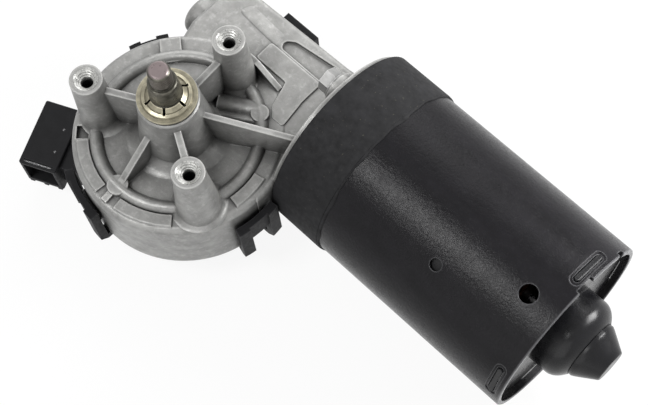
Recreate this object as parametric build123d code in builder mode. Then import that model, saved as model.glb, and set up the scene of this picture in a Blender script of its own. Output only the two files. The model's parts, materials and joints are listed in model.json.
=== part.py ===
from build123d import *
import math
import os

# Wiper motor: die-cast worm gearbox with three mounting bosses, permanent-magnet motor
# in a drawn can. Millimetres. Z is the output shaft axis, z = 0 is the plane of the three
# mounting boss tips, and the motor and worm axis lies along X.

# ---------------------------------------------------------------- driving dimensions

# Mounting bosses
mount_pcd = 60.0
mount_count = 3
mount_first_angle = 90.0
boss_tip_r = 6.0
boss_height = 29.0
boss_draft = 3.0
boss_thread_r = 2.5
boss_mouth_r = 4.6
boss_hole_depth = 22.0

# Gearbox casting
drum_clearance = 0.8
drum_wall = 2.2
drum_draft = 0.6
drum_depth = 28.5
drum_top_wall = 3.5
drum_edge_radius = 2.6
ring_rib_offset = 10.1
ring_rib_half_width = 2.5
ring_rib_height = 2.7
rim_pad_width = 4.6
rim_pad_height = 0.8
rim_pad_spans = ((229.0, 34.0), (277.0, 35.0), (350.0, 22.0))
plateau_angle = 141.0
rim_pocket_angle = 223.5
rim_pocket_width = 5.2
rim_pocket_depth = 2.5
tower_top_r = 11.4
tower_base_r = 14.5
tower_foot_flare = 2.5
tower_collar = 0.6
tower_collar_height = 8.0
tower_drop = 1.2
inner_hub_depth = 2.9
inner_hub_r = 11.5
web_thickness = 2.6
boss_b_web_drops = (9.0, 7.0)
boss_a_web_drops = (7.0, 5.0)
boss_c_web_drops = (5.0, 9.0)
flange_web_drops = (9.5, 16.0)
flange_web_angle = 31.2
flange_web_thickness = 2.2
rim_web_drop = 14.0
rim_web_angle = 270.0
side_rib_angle = 32.0
round_rib_r = 1.8
round_rib_sink = 0.3
round_rib_start = 6.0
round_rib_offset = 9.2
bulge_r = 4.0
bulge_sink = 1.3
bulge_start = 11.5
bulge_offset = 13.8
pad_rise = 2.5
pad_places = ((54.3, 3.4), (270.0, 3.9))
plateau_half_width = 4.0
fin_length = 9.5
fin_offset = 7.2
fin_top_length = 4.0
fin_rise = 7.0
fin_thickness = 2.2
gusset_foot_r = 8.6
gusset_foot_offset = 1.0
gusset_top_drop = 3.5
tunnel_wall = 3.4
tunnel_half_width = 18.0
tunnel_step = 0.5
tunnel_edge_radius = 2.0
tunnel_flare = 3.5
shoulder_length = 10.5
shoulder_corner_radius = 3.0
shoulder_inset = 1.2
tunnel_nose_half_width = 7.6
trough_offset = 6.8
trough_start = -2.0
trough_narrow_x = 6.0
trough_end = 37.5
trough_bend = 13.0
trough_corner_radius = 2.2
trough_width = 8.0
trough_depth = 1.3
label_pad_height = 0.7
label_pad_left = -0.5
label_pad_right = 25.2
label_pad_neck_x = 16.6
label_pad_slant = 1.6
label_pad_near = -2.4
label_pad_far = 5.8
label_tongue_near = -16.0
label_tongue_length = 12.0
label_pad_corner_radius = 1.2
worm_boss_r = 8.2
worm_boss_end = -37.2
worm_boss_proud = 7.5
worm_boss_wall = 2.4
worm_boss_edge_radius = 3.0
bearing_wall = 2.9
bell_length = 18.0
flange_r = 35.0
flange_back = 40.4
flange_thickness = 1.9
flange_pad_r = 6.2
flange_pad_height = 2.5
underside_rib_spread = 9.0
underside_rib_depth = 10.5

# Worm drive: single start worm, metric module
gear_module = 1.25
wheel_teeth = 58
worm_pitch_r = 6.75
worm_turns = 8
pressure_angle = 20.0
flank_clearance = 0.16
worm_clearance = 0.6
wheel_face = 10.0
worm_drop = 42.0

# Output shaft and its stack
shaft_r = 6.0
shaft_thread_r = 4.0
shaft_thread_start = 12.4
shaft_tip = 20.8
shaft_taper_tip_r = 5.3
taper_edge = 0.4
shaft_relief_z = 3.6
shaft_relief_width = 0.8
shaft_relief_depth = 0.3
shaft_tip_chamfer = 0.9
shaft_below_wheel = 4.5
bush_wall = 2.0
bush_length = 10.0
seal_ring_height = 2.0
thrust_washer_thickness = 0.8
thrust_washer_r = 10.3
retainer_r = 10.9
retainer_thickness = 0.7
retainer_rim = 1.5
retainer_dome_rise = 1.3
retainer_dome_width = 1.5
retainer_rise = 2.6
retainer_bend = 0.4
retainer_teeth = 6
retainer_slit_width = 1.0
retainer_slit_angle = 10.0
insert_r = 10.0
insert_overhang = 0.5
insert_edge_radius = 0.4
wheel_hub_r = 14.0
wheel_rim_inner_r = 30.5
wheel_web = 3.2
wheel_ribs = 6
wheel_rib_angle = 15.0
wheel_rib_width = 1.8
wheel_rib_drop = 2.0
contact_disc_inner_r = 15.5
contact_disc_outer_r = 27.0
contact_disc_thickness = 0.6
park_gap_angle = 200.0
park_gap_depth = 7.5
park_gap_width = 6.0

# Motor
can_r = 36.0
can_wall = 2.0
can_length = 109.8
can_lip_r = 24.0
can_edge = 0.4
can_shoulder_radius = 1.0
slot_width = 2.6
slot_relief_margin = 1.8
slot_relief_depth = 0.35
rim_notches = ((81.5, 12.0), (45.0, 6.0))
rim_notch_depth = 1.4
end_plate_thickness = 2.4
end_plate_recess = 3.0
end_lug_length = 14.6
end_lug_first_angle = 71.5
end_lug_count = 4
end_lug_root = 3.0
end_lug_recess = 0.5
slot_play = 0.6
cup_r = 16.2
cup_wall = 1.6
cup_length = 7.3
cup_slope_length = 7.4
cup_dome_stretch = 1.25
cap_setback = 3.0
cap_body_r = 11.3
cap_flange_thickness = 2.0
cone_waist = 0.5
cone_tip_r = 6.2
cone_length = 8.6
cone_tip_radius = 0.8
small_hole_r = 2.3
small_hole_x = 107.1
small_hole_angle = 126.7
large_hole_r = 3.4
large_hole_x = 137.7
large_hole_angle = 105.4
band_length = 23.1
band_thickness = 0.7
magnet_thickness = 6.3
magnet_length = 64.0
magnet_span = 132.0
air_gap = 0.8
core_length = 60.0
core_slots = 12
core_slot_width = 5.0
core_slot_depth = 11.0
core_slot_mouth = 2.2
core_slot_rim = 2.0
winding_gap = 0.2
winding_clearance = 0.5
winding_bore_gap = 1.5
winding_overhang = 7.0
winding_r = 23.5
commutator_r = 11.0
commutator_setback = 5.1
commutator_length = 14.0
commutator_bars = 12
commutator_cut_depth = 0.6
commutator_cut_width = 0.6
armature_r = 5.0
journal_r = 4.0
worm_journal_length = 9.0
bearing_r = 9.5
bearing_width = 5.0
bearing_setback = 4.4
bearing_race = 1.6
bearing_shield_depth = 0.5
end_bush_r = 8.0
end_bush_length = 7.0
shaft_end_gap = 0.6
journal_chamfer = 0.5
journal_setback = 2.0
worm_core_setback = 3.0
ball_r = 2.5

# Brush gear
brush_plate_r = 23.6
brush_plate_thickness = 2.2
brush_plate_bore = 13.0
brush_width = 6.0
brush_thickness = 4.5
brush_length = 9.0
brush_angles = (0.0, 125.0, 180.0)
holder_wall = 0.8
holder_setback = 1.5
spring_r = 2.0
spring_wire = 0.7
spring_length = 5.5
choke_r = 2.6
choke_length = 13.0
choke_angles = (60.0, 240.0)

# Cover, clips and connector
gasket_thickness = 0.8
gasket_inset = 0.2
cover_thickness = 3.2
cover_inset = 1.5
cover_rib_height = 1.6
cover_rib_width = 1.8
cover_ribs = 6
cover_hub_r = 12.0
cover_ring_r = 29.0
locating_rib_height = 3.0
locating_rib_width = 2.0
bridge_left = -3.5
bridge_right = 18.0
clip_gap = 1.1
clip_bar_thickness = 2.4
clip_leg_thickness = 3.4
nib_depth = 2.7
clip_chamfer = 3.0
clip_top_drop = 8.0
clip_bar = 10.5
clip_leg_angle = 6.0
clip_leg = 4.0
nib_height = 5.5
drum_clip_spans = ((-16.0, 23.0), (-121.0, 29.0), (143.0, 20.0))
tunnel_clip_start = -9.0
tunnel_clip_width = 16.0
tunnel_clip_drop = 10.0
connector_angle = 204.6
connector_near = 47.0
connector_far = 62.6
connector_back = -6.2
connector_front = 21.4
connector_height = 16.5
connector_top_drop = 27.0
connector_wall = 1.6
connector_rib_length = 6.0
connector_rib_depth = 1.4
connector_lip = 1.5
connector_rib_width = 1.8
connector_groove_width = 0.6
connector_groove_depth = 0.3
connector_socket_depth = 16.0
terminal_count = 5
terminal_pitch = 2.4
terminal_width = 1.2
terminal_thickness = 0.8
terminal_length = 8.0
park_fingers = 3
park_finger_width = 2.4
park_finger_thickness = 0.5
park_foot_start = -9.0
park_foot_length = 7.0
park_finger_bend = 4.0
park_tip_length = 4.0
park_tip_end = 6.0

# Flange screws
screw_pitch_r = 28.4
screw_first_angle = 81.0
screw_head_r = 4.2
screw_head_height = 4.6
screw_washer_r = 5.4
screw_washer_thickness = 1.0
screw_shank_r = 2.4
screw_shank_length = 10.0

# Clearances
running_fit = 0.05
seat_fit = 0.03
axial_play = 0.3
side_gap = 0.3

# How far a raised form reaches into the body that it stands on
rooting = 1.0

# ---------------------------------------------------------------- derived places

worm_pitch = math.pi * gear_module
wheel_pitch_r = gear_module * wheel_teeth / 2
worm_y = wheel_pitch_r + worm_pitch_r
worm_z = -worm_drop
worm_tip_r = worm_pitch_r + gear_module
worm_root_r = worm_pitch_r - 1.25 * gear_module
wheel_tip_r = wheel_pitch_r + gear_module
wheel_root_r = wheel_pitch_r - 1.25 * gear_module
worm_bore_r = worm_tip_r + worm_clearance
wheel_top_z = worm_z + wheel_face / 2
wheel_bottom_z = worm_z - wheel_face / 2

face_z = -boss_height
rim_z = face_z - drum_depth
ceiling_z = face_z - drum_top_wall
cavity_r = wheel_tip_r + drum_clearance
drum_r = cavity_r + drum_wall
ring_rib_r = drum_r - ring_rib_offset
tower_top_z = -tower_drop
inner_hub_z = ceiling_z - inner_hub_depth
mount_r = mount_pcd / 2

flange_front = flange_back - flange_thickness
can_start = flange_back
can_end = can_start + can_length
can_bore_r = can_r - can_wall
end_plate_back = can_end - end_plate_recess
end_plate_front = end_plate_back - end_plate_thickness
cone_start = end_plate_back + cup_length + cup_slope_length
cap_start = end_plate_back + cap_setback
cap_flange_r = cup_r - cup_wall - side_gap
shaft_end_x = cap_start + end_bush_length - shaft_end_gap
bearing_start = flange_back - bearing_setback - bearing_width
bell_r = bearing_r + bearing_wall
magnet_inner_r = can_bore_r - magnet_thickness - seat_fit
core_r = magnet_inner_r - air_gap
commutator_start = can_start + commutator_setback
winding_start = commutator_start + commutator_length + winding_clearance
core_start = winding_start + winding_overhang
magnet_start = core_start - (magnet_length - core_length) / 2
cover_top_z = rim_z - gasket_thickness
cover_bottom_z = cover_top_z - cover_thickness
cover_r = drum_r - cover_inset
clip_inner_r = drum_r + clip_gap
clip_leg_r = clip_inner_r + clip_leg_thickness
clip_top_z = face_z - clip_top_drop
nib_top_z = clip_top_z - clip_bar - side_gap
nib_r = drum_r + nib_depth
tunnel_nib_z = face_z - tunnel_clip_drop - clip_bar / 2
boss_angles = tuple(mount_first_angle + n * 360 / mount_count for n in range(mount_count))
worm_bore_start = worm_boss_end + worm_boss_wall + 2 * ball_r + worm_journal_length - 1
connector_top_z = face_z - connector_top_drop
connector_bottom_z = connector_top_z - connector_height
insert_top_z = wheel_top_z + insert_overhang
insert_bottom_z = wheel_bottom_z - insert_overhang

shaft_axis = Axis.Z
motor_axis = Axis((0, worm_y, worm_z), (1, 0, 0))


# ---------------------------------------------------------------- helpers

def across_motor(x):
    """Plane square to the motor axis at x, its own x along +Y and y along +Z."""
    return Plane(origin=(x, worm_y, worm_z), x_dir=(0, 1, 0), z_dir=(1, 0, 0))


def along_motor():
    """Plane through the motor axis: its own x along the axis, y the radius."""
    return Plane(origin=(0, worm_y, worm_z), x_dir=(1, 0, 0), z_dir=(0, -1, 0))


def over_motor(angle, x, radius):
    """Plane that touches a cylinder about the motor axis, its own x along that axis."""
    a = math.radians(angle)
    return Plane(
        origin=(x, worm_y + radius * math.cos(a), worm_z + radius * math.sin(a)),
        x_dir=(1, 0, 0),
        z_dir=(0, math.cos(a), math.sin(a)),
    )


def radial_plane(angle):
    """Upright plane through the shaft axis: its own x is the radius, y is height."""
    a = math.radians(angle)
    return Plane(
        origin=(0, 0, 0),
        x_dir=(math.cos(a), math.sin(a), 0),
        z_dir=(math.sin(a), -math.cos(a), 0),
    )


def turned_plane(angle, z):
    """Level plane at height z with its own x pointing out at angle."""
    a = math.radians(angle)
    return Plane(origin=(0, 0, z), x_dir=(math.cos(a), math.sin(a), 0), z_dir=(0, 0, 1))


def turn_on_shaft(*points, mode=Mode.ADD):
    """Solid of revolution about the output shaft from (radius, z) corners."""
    with BuildSketch(Plane.XZ) as profile:
        with BuildLine():
            Polyline(*points, close=True)
        make_face()
    revolve(profile.sketch, axis=shaft_axis, mode=mode)


def turn_on_motor(*points, mode=Mode.ADD):
    """Solid of revolution about the motor axis from (x, radius) corners."""
    with BuildSketch(along_motor()) as profile:
        with BuildLine():
            Polyline(*points, close=True)
        make_face()
    revolve(profile.sketch, axis=motor_axis, mode=mode)


def ring_on_shaft(bottom, top, outer, inner=0.0, mode=Mode.ADD):
    """Plain ring or disc about the output shaft."""
    turn_on_shaft((inner, bottom), (outer, bottom), (outer, top), (inner, top), mode=mode)


def ring_on_motor(start, end, outer, inner=0.0, mode=Mode.ADD):
    """Plain ring or disc about the motor axis."""
    turn_on_motor((start, inner), (end, inner), (end, outer), (start, outer), mode=mode)


def plate_on_radius(angle, points, thickness, mode=Mode.ADD):
    """Upright plate on the radius at angle from (radius, z) corners."""
    with BuildSketch(radial_plane(angle)) as profile:
        with BuildLine():
            Polyline(*points, close=True)
        make_face()
    extrude(profile.sketch, amount=thickness / 2, both=True, mode=mode)


def outward_plane(angle, z, ahead, aside):
    """Upright plane that faces along angle, some way ahead of the shaft axis and aside."""
    base = turned_plane(angle, z)
    return Plane(
        origin=base.from_local_coords((ahead, aside, 0)), x_dir=base.y_dir, z_dir=base.x_dir
    )


def sector_on_shaft(start, span, *points):
    """Part of a ring about the output shaft from (radius, z) corners, in degrees."""
    with BuildSketch(radial_plane(start)) as profile:
        with BuildLine():
            Polyline(*points, close=True)
        make_face()
    revolve(profile.sketch, axis=shaft_axis, revolution_arc=span)


def block_at_angle(angle, z_low, z_high, near, far, left, right, mode=Mode.ADD):
    """Block between radii near and far and sideways places left and right."""
    with BuildSketch(turned_plane(angle, z_low)) as outline:
        with Locations(((near + far) / 2, (left + right) / 2)):
            Rectangle(far - near, right - left)
    extrude(outline.sketch, amount=z_high - z_low, mode=mode)


# ---------------------------------------------------------------- gearbox casting

gusset_angle = mount_first_angle + 2 * 360 / mount_count

with BuildPart() as boss_gusset:
    # Flared root that carries the corner boss out to the rim of the drum
    with BuildSketch(turned_plane(gusset_angle, face_z - rooting)):
        with Locations((mount_r + gusset_foot_offset, 0)):
            Circle(gusset_foot_r)
    with BuildSketch(turned_plane(gusset_angle, -gusset_top_drop)):
        with Locations((mount_r, 0)):
            Circle(boss_tip_r)
    loft()
    with BuildSketch(Plane.XY.offset(face_z - rooting)):
        Circle(drum_r - drum_draft)
    extrude(amount=boss_height + rooting, mode=Mode.INTERSECT)

tunnel_outer_y = worm_y + tunnel_half_width
tunnel_top_z = face_z - tunnel_step
tunnel_floor_z = worm_z - worm_bore_r - tunnel_wall
tunnel_back_x = worm_boss_end + worm_boss_proud
shoulder_x = tunnel_back_x + shoulder_length
trough_y = worm_y + trough_offset
underside_rib_z = tunnel_floor_z - underside_rib_depth

with BuildPart() as worm_tunnel:
    with BuildSketch(Plane.XY.offset(tunnel_floor_z)):
        with BuildLine():
            Polyline(
                (flange_back, 0),
                (flange_back, tunnel_outer_y + tunnel_flare),
                (flange_front - tunnel_flare, tunnel_outer_y + tunnel_flare / 4),
                (flange_front - 3 * tunnel_flare, tunnel_outer_y),
                (shoulder_x, tunnel_outer_y - shoulder_inset),
                (tunnel_back_x, worm_y + tunnel_nose_half_width),
                (tunnel_back_x, worm_y - tunnel_nose_half_width),
                (shoulder_x, 0),
                close=True,
            )
        make_face()
    extrude(amount=tunnel_top_z - tunnel_floor_z)
    corners = worm_tunnel.edges().filter_by(Axis.Z).filter_by_position(
        Axis.X, tunnel_back_x - 1, shoulder_x + 1
    )
    fillet(corners.sort_by(Axis.Y)[-2:], radius=shoulder_corner_radius)
    fillet(worm_tunnel.faces().sort_by(Axis.Z)[-1].edges(), radius=tunnel_edge_radius)
    # Shallow trough along the outer side of the top
    with BuildSketch(Plane.XY.offset(tunnel_top_z)):
        with BuildLine():
            FilletPolyline(
                (trough_start, trough_y),
                (trough_end, trough_y),
                (trough_end, trough_y + trough_width),
                (trough_end - trough_bend, trough_y + trough_width),
                (trough_narrow_x, trough_y + 0.7 * trough_width),
                radius=trough_corner_radius,
                close=True,
            )
        make_face()
    extrude(amount=-trough_depth, mode=Mode.SUBTRACT)
    # Closed boss that holds the end of the worm
    ring_on_motor(worm_boss_end, shoulder_x, worm_boss_r)
    fillet(
        worm_tunnel.edges().filter_by(GeomType.CIRCLE).sort_by(Axis.X)[0],
        radius=worm_boss_edge_radius,
    )

with BuildPart() as gear_housing:
    # Drum over the worm wheel
    turn_on_shaft((0, rim_z), (drum_r, rim_z), (drum_r - drum_draft, face_z), (0, face_z))
    fillet(gear_housing.edges().sort_by(Axis.Z)[-1], radius=drum_edge_radius)

    # Worm tunnel, bearing bell and the flange that the can seats on
    add(worm_tunnel.part)
    ring_on_motor(flange_front - bell_length, flange_front, bell_r)
    ring_on_motor(flange_front, flange_back, flange_r)
    with BuildSketch(across_motor(flange_front - flange_pad_height)):
        with PolarLocations(screw_pitch_r, 2, start_angle=screw_first_angle):
            Circle(flange_pad_r)
    extrude(amount=flange_pad_height)

    # Ribs below the tunnel that hold the flange upright
    rib_sides = (-underside_rib_spread, underside_rib_spread)
    with BuildSketch(*(Plane.XZ.offset(side - worm_y) for side in rib_sides)):
        with BuildLine():
            Polyline(
                (flange_back - bell_length, tunnel_floor_z + rooting),
                (flange_front + rooting, tunnel_floor_z + rooting),
                (flange_front + rooting, underside_rib_z),
                (flange_front - flange_thickness, underside_rib_z),
                close=True,
            )
        make_face()
    extrude(amount=web_thickness / 2, both=True)

    # Bearing tower of the output shaft, inside hub included
    turn_on_shaft(
        (0, ceiling_z - 0.5),
        (tower_base_r + tower_foot_flare, face_z - rooting),
        (tower_base_r, face_z + tower_foot_flare),
        (tower_top_r + tower_collar, tower_top_z - tower_collar_height),
        (tower_top_r, tower_top_z - tower_collar),
        (tower_top_r - tower_collar, tower_top_z),
        (0, tower_top_z),
    )
    ring_on_shaft(inner_hub_z, ceiling_z, inner_hub_r)

    # Ring rib on the drum face, and low pads between it and the rim
    with BuildSketch(Plane.XZ):
        with Locations((ring_rib_r, face_z)):
            Ellipse(ring_rib_half_width, ring_rib_height)
    revolve(axis=shaft_axis)
    rim_pad_outer_r = drum_r - drum_edge_radius
    for start, span in rim_pad_spans:
        sector_on_shaft(
            start,
            span,
            (rim_pad_outer_r - rim_pad_width, face_z - rooting),
            (rim_pad_outer_r + drum_draft, face_z - rooting),
            (rim_pad_outer_r - rim_pad_height / 2, face_z + rim_pad_height),
            (rim_pad_outer_r - rim_pad_width, face_z + rim_pad_height),
        )
    block_at_angle(
        plateau_angle, face_z - rooting, face_z + ring_rib_height / 2,
        ring_rib_r - ring_rib_half_width, rim_pad_outer_r, -plateau_half_width, plateau_half_width,
    )

    # Webs from the tower to the bosses
    for angle, (tower_drop_z, boss_drop_z) in zip(
        boss_angles, (boss_b_web_drops, boss_a_web_drops, boss_c_web_drops)
    ):
        plate_on_radius(
            angle,
            (
                (tower_top_r - web_thickness, face_z - rooting),
                (mount_r, face_z - rooting),
                (mount_r, -boss_drop_z),
                (tower_top_r, -tower_drop_z),
            ),
            web_thickness,
        )
    # Web to the flange
    web_end_r = flange_front / math.cos(math.radians(flange_web_angle)) + rooting
    plate_on_radius(
        flange_web_angle,
        (
            (tower_top_r - web_thickness, face_z - rooting),
            (web_end_r, face_z - rooting),
            (web_end_r, -flange_web_drops[1]),
            (tower_top_r, -flange_web_drops[0]),
        ),
        flange_web_thickness,
    )
    # Web that runs down to the ring and on to the rim
    plate_on_radius(
        rim_web_angle,
        (
            (tower_top_r - web_thickness, face_z - rooting),
            (rim_pad_outer_r, face_z - rooting),
            (rim_pad_outer_r, face_z + rim_pad_height),
            (ring_rib_r - ring_rib_half_width, face_z + ring_rib_height),
            (tower_top_r + 1, -rim_web_drop),
        ),
        web_thickness,
    )
    # Round-backed rib and the bulge beside it, between the tower and the ring
    for offset, start, radius, sink in (
        (round_rib_offset, round_rib_start, round_rib_r, round_rib_sink),
        (bulge_offset, bulge_start, bulge_r, bulge_sink),
    ):
        with BuildSketch(outward_plane(side_rib_angle, face_z - sink, start, offset)):
            Circle(radius)
        extrude(amount=math.sqrt(ring_rib_r**2 - offset**2) - start)
    # Ejector pads
    for angle, radius in pad_places:
        with BuildSketch(turned_plane(angle, face_z - rooting)):
            with Locations((ring_rib_r, 0)):
                Circle(radius)
        extrude(amount=rooting + pad_rise)

    # Bosses, the gusset of one and the fin of another
    with BuildSketch(Plane.XY):
        with PolarLocations(mount_r, mount_count, start_angle=mount_first_angle):
            Circle(boss_tip_r)
    extrude(amount=-(boss_height + rooting), taper=-boss_draft)
    add(boss_gusset.part)
    fin_y = mount_r + fin_offset
    with BuildSketch(Plane.XZ.offset(-fin_y)):
        with BuildLine():
            Polyline(
                (0, face_z - rooting),
                (boss_tip_r + fin_length, face_z - rooting),
                (boss_tip_r + fin_length, face_z),
                (fin_top_length, face_z + fin_rise),
                (0, face_z + fin_rise),
                close=True,
            )
        make_face()
    extrude(amount=fin_thickness / 2, both=True)

    # Bare raised plate on the tunnel top
    label_tongue_y = worm_y + label_tongue_near
    with BuildSketch(Plane.XY.offset(tunnel_top_z - rooting)):
        with BuildLine():
            FilletPolyline(
                (label_pad_left, worm_y + label_pad_far),
                (label_pad_left, worm_y + label_pad_near),
                (label_pad_neck_x - label_pad_slant, worm_y + label_pad_near),
                (label_pad_neck_x + label_pad_slant, label_tongue_y + 2 * label_pad_slant),
                (label_pad_neck_x + 3 * label_pad_slant, label_tongue_y),
                (label_pad_right + label_pad_slant, label_tongue_y),
                (label_pad_right, label_tongue_y + label_tongue_length),
                (label_pad_right, worm_y + label_pad_far),
                radius=label_pad_corner_radius,
                close=True,
            )
        make_face()
    extrude(amount=rooting + label_pad_height)

    # Pocket in the rim beside a boss
    block_at_angle(
        rim_pocket_angle, face_z - rim_pocket_depth, face_z + 1,
        rim_pad_outer_r - rim_pad_width, rim_pad_outer_r,
        -rim_pocket_width / 2, rim_pocket_width / 2,
        mode=Mode.SUBTRACT,
    )

    # Wheel cavity, worm bore and bearing seats
    ring_on_shaft(rim_z, inner_hub_z, cavity_r, mode=Mode.SUBTRACT)
    ring_on_shaft(inner_hub_z, ceiling_z, cavity_r, inner_hub_r, mode=Mode.SUBTRACT)
    ring_on_motor(
        worm_boss_end + worm_boss_wall, flange_back, journal_r + bush_wall + seat_fit,
        mode=Mode.SUBTRACT,
    )
    ring_on_motor(
        worm_bore_start, flange_back, worm_bore_r, mode=Mode.SUBTRACT,
    )
    ring_on_motor(bearing_start, flange_back, bearing_r + seat_fit, mode=Mode.SUBTRACT)
    ring_on_shaft(inner_hub_z, tower_top_z, shaft_r + bush_wall + seat_fit, mode=Mode.SUBTRACT)

    # Threaded mounting holes with countersunk mouths
    with PolarLocations(mount_r, mount_count, start_angle=mount_first_angle):
        CounterSinkHole(
            radius=boss_thread_r,
            counter_sink_radius=boss_mouth_r,
            depth=boss_hole_depth,
            counter_sink_angle=90,
        )

    # Clearance holes of the flange screws
    with BuildSketch(across_motor(flange_front - flange_pad_height)):
        with PolarLocations(screw_pitch_r, 2, start_angle=screw_first_angle):
            Circle(screw_shank_r + side_gap)
    extrude(amount=flange_thickness + flange_pad_height, mode=Mode.SUBTRACT)

    # Nibs that the cover clips snap over
    for start, span in drum_clip_spans:
        sector_on_shaft(
            start + clip_leg_angle,
            span - 2 * clip_leg_angle,
            (drum_r - rooting, nib_top_z),
            (nib_r, nib_top_z),
            (drum_r + side_gap, nib_top_z - nib_height),
            (drum_r - rooting, nib_top_z - nib_height),
        )
    with BuildSketch(Plane.YZ.offset(tunnel_clip_start + clip_leg + clip_gap)):
        with BuildLine():
            Polyline(
                (tunnel_outer_y - 2 * rooting, tunnel_nib_z),
                (tunnel_outer_y + nib_depth, tunnel_nib_z),
                (tunnel_outer_y, tunnel_nib_z - nib_height),
                (tunnel_outer_y - 2 * rooting, tunnel_nib_z - nib_height),
                close=True,
            )
        make_face()
    extrude(amount=tunnel_clip_width - 2 * (clip_leg + clip_gap))
gear_housing.part.label = "gear_housing"

# ---------------------------------------------------------------- cover, clips, gasket

with BuildPart() as gear_cover:
    ring_on_shaft(cover_bottom_z, cover_top_z, cover_r)
    # Locating rib inside the drum wall
    locating_r = cavity_r - side_gap
    ring_on_shaft(
        cover_top_z, cover_top_z + locating_rib_height, locating_r, locating_r - locating_rib_width
    )
    # Stiffening on the outside
    cover_rib_z = cover_bottom_z - cover_rib_height
    ring_on_shaft(cover_rib_z, cover_bottom_z, cover_hub_r)
    ring_on_shaft(
        cover_rib_z, cover_bottom_z,
        cover_ring_r + cover_rib_width / 2, cover_ring_r - cover_rib_width / 2,
    )
    for n in range(cover_ribs):
        block_at_angle(
            n * 360 / cover_ribs, cover_rib_z, cover_bottom_z,
            cover_hub_r - rooting, cover_r - cover_rib_width,
            -cover_rib_width / 2, cover_rib_width / 2,
        )
    # Clips on the drum: a bar between two legs that stand on the edge of the cover
    for start, span in drum_clip_spans:
        sector_on_shaft(
            start,
            span,
            (clip_inner_r, clip_top_z - clip_bar),
            (clip_inner_r + clip_bar_thickness, clip_top_z - clip_bar),
            (clip_inner_r + clip_bar_thickness, clip_top_z),
            (clip_inner_r, clip_top_z),
        )
        for leg_start in (start, start + span - clip_leg_angle):
            sector_on_shaft(
                leg_start,
                clip_leg_angle,
                (cover_r - rooting, cover_bottom_z),
                (clip_leg_r - clip_chamfer, cover_bottom_z),
                (clip_leg_r, cover_bottom_z + clip_chamfer),
                (clip_leg_r, clip_top_z),
                (clip_inner_r, clip_top_z),
                (clip_inner_r, cover_top_z),
                (cover_r - rooting, cover_top_z),
            )
    # Tongue under the tunnel with the fourth clip
    tongue_y = tunnel_outer_y + clip_gap
    tongue_root_y = 0.9 * cover_r
    with BuildSketch(Plane.XY.offset(cover_bottom_z)):
        with Locations((tunnel_clip_start, tongue_root_y)):
            Rectangle(
                tunnel_clip_width,
                tongue_y + clip_leg_thickness - tongue_root_y,
                align=(Align.MIN, Align.MIN),
            )
    extrude(amount=cover_thickness)
    with BuildSketch(Plane.XZ.offset(-tongue_y)):
        with Locations((tunnel_clip_start, cover_bottom_z)):
            Rectangle(
                tunnel_clip_width,
                face_z - tunnel_clip_drop - cover_bottom_z,
                align=(Align.MIN, Align.MIN),
            )
        with Locations((tunnel_clip_start + clip_leg, cover_top_z)):
            Rectangle(
                tunnel_clip_width - 2 * clip_leg,
                tunnel_nib_z + side_gap - cover_top_z,
                align=(Align.MIN, Align.MIN),
                mode=Mode.SUBTRACT,
            )
    extrude(amount=-clip_leg_thickness)
    # Carrier of the connector
    block_at_angle(
        connector_angle, connector_bottom_z + connector_wall, cover_top_z,
        cover_r - cover_inset, connector_near, bridge_left, bridge_right,
    )
gear_cover.part.label = "gear_cover"

with BuildPart() as cover_gasket:
    ring_on_shaft(cover_top_z, rim_z, cover_r, cavity_r + gasket_inset)
cover_gasket.part.label = "cover_gasket"

# ---------------------------------------------------------------- connector

with BuildPart() as connector_housing:
    block_at_angle(
        connector_angle, connector_bottom_z, connector_top_z,
        connector_near, connector_far, connector_back, connector_front,
    )
    fillet(connector_housing.edges().filter_by(Axis.Z), radius=connector_wall / 2)
    fillet(connector_housing.faces().sort_by(Axis.Z)[-1].edges(), radius=connector_wall / 3)
    # Coding ribs below the mouth
    connector_mid = (connector_near + connector_far) / 2
    for across in (
        connector_near + connector_rib_width, connector_mid, connector_far - connector_rib_width
    ):
        block_at_angle(
            connector_angle,
            connector_bottom_z - connector_rib_depth,
            connector_bottom_z + connector_wall / 2,
            across - connector_rib_width / 2,
            across + connector_rib_width / 2,
            connector_front - connector_rib_length,
            connector_front,
        )
    # Groove behind the lip of the mouth
    groove_front = connector_front - connector_lip
    block_at_angle(
        connector_angle, connector_top_z - connector_groove_depth, connector_top_z,
        connector_near + connector_wall, connector_far - connector_wall,
        groove_front - connector_groove_width, groove_front,
        mode=Mode.SUBTRACT,
    )
    # Socket
    block_at_angle(
        connector_angle,
        connector_bottom_z + connector_wall,
        connector_top_z - connector_wall,
        connector_near + connector_wall,
        connector_far - connector_wall,
        connector_front - connector_socket_depth,
        connector_front,
        mode=Mode.SUBTRACT,
    )
connector_housing.part.label = "connector_housing"

with BuildPart() as connector_terminals:
    terminal_z = (connector_top_z + connector_bottom_z) / 2
    for n in range(terminal_count):
        across = connector_mid + (n - (terminal_count - 1) / 2) * terminal_pitch
        block_at_angle(
            connector_angle,
            terminal_z - terminal_thickness / 2,
            terminal_z + terminal_thickness / 2,
            across - terminal_width / 2,
            across + terminal_width / 2,
            connector_front - connector_socket_depth,
            connector_front - connector_socket_depth + terminal_length,
        )
connector_terminals.part.label = "connector_terminals"

# ---------------------------------------------------------------- output shaft stack

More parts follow.
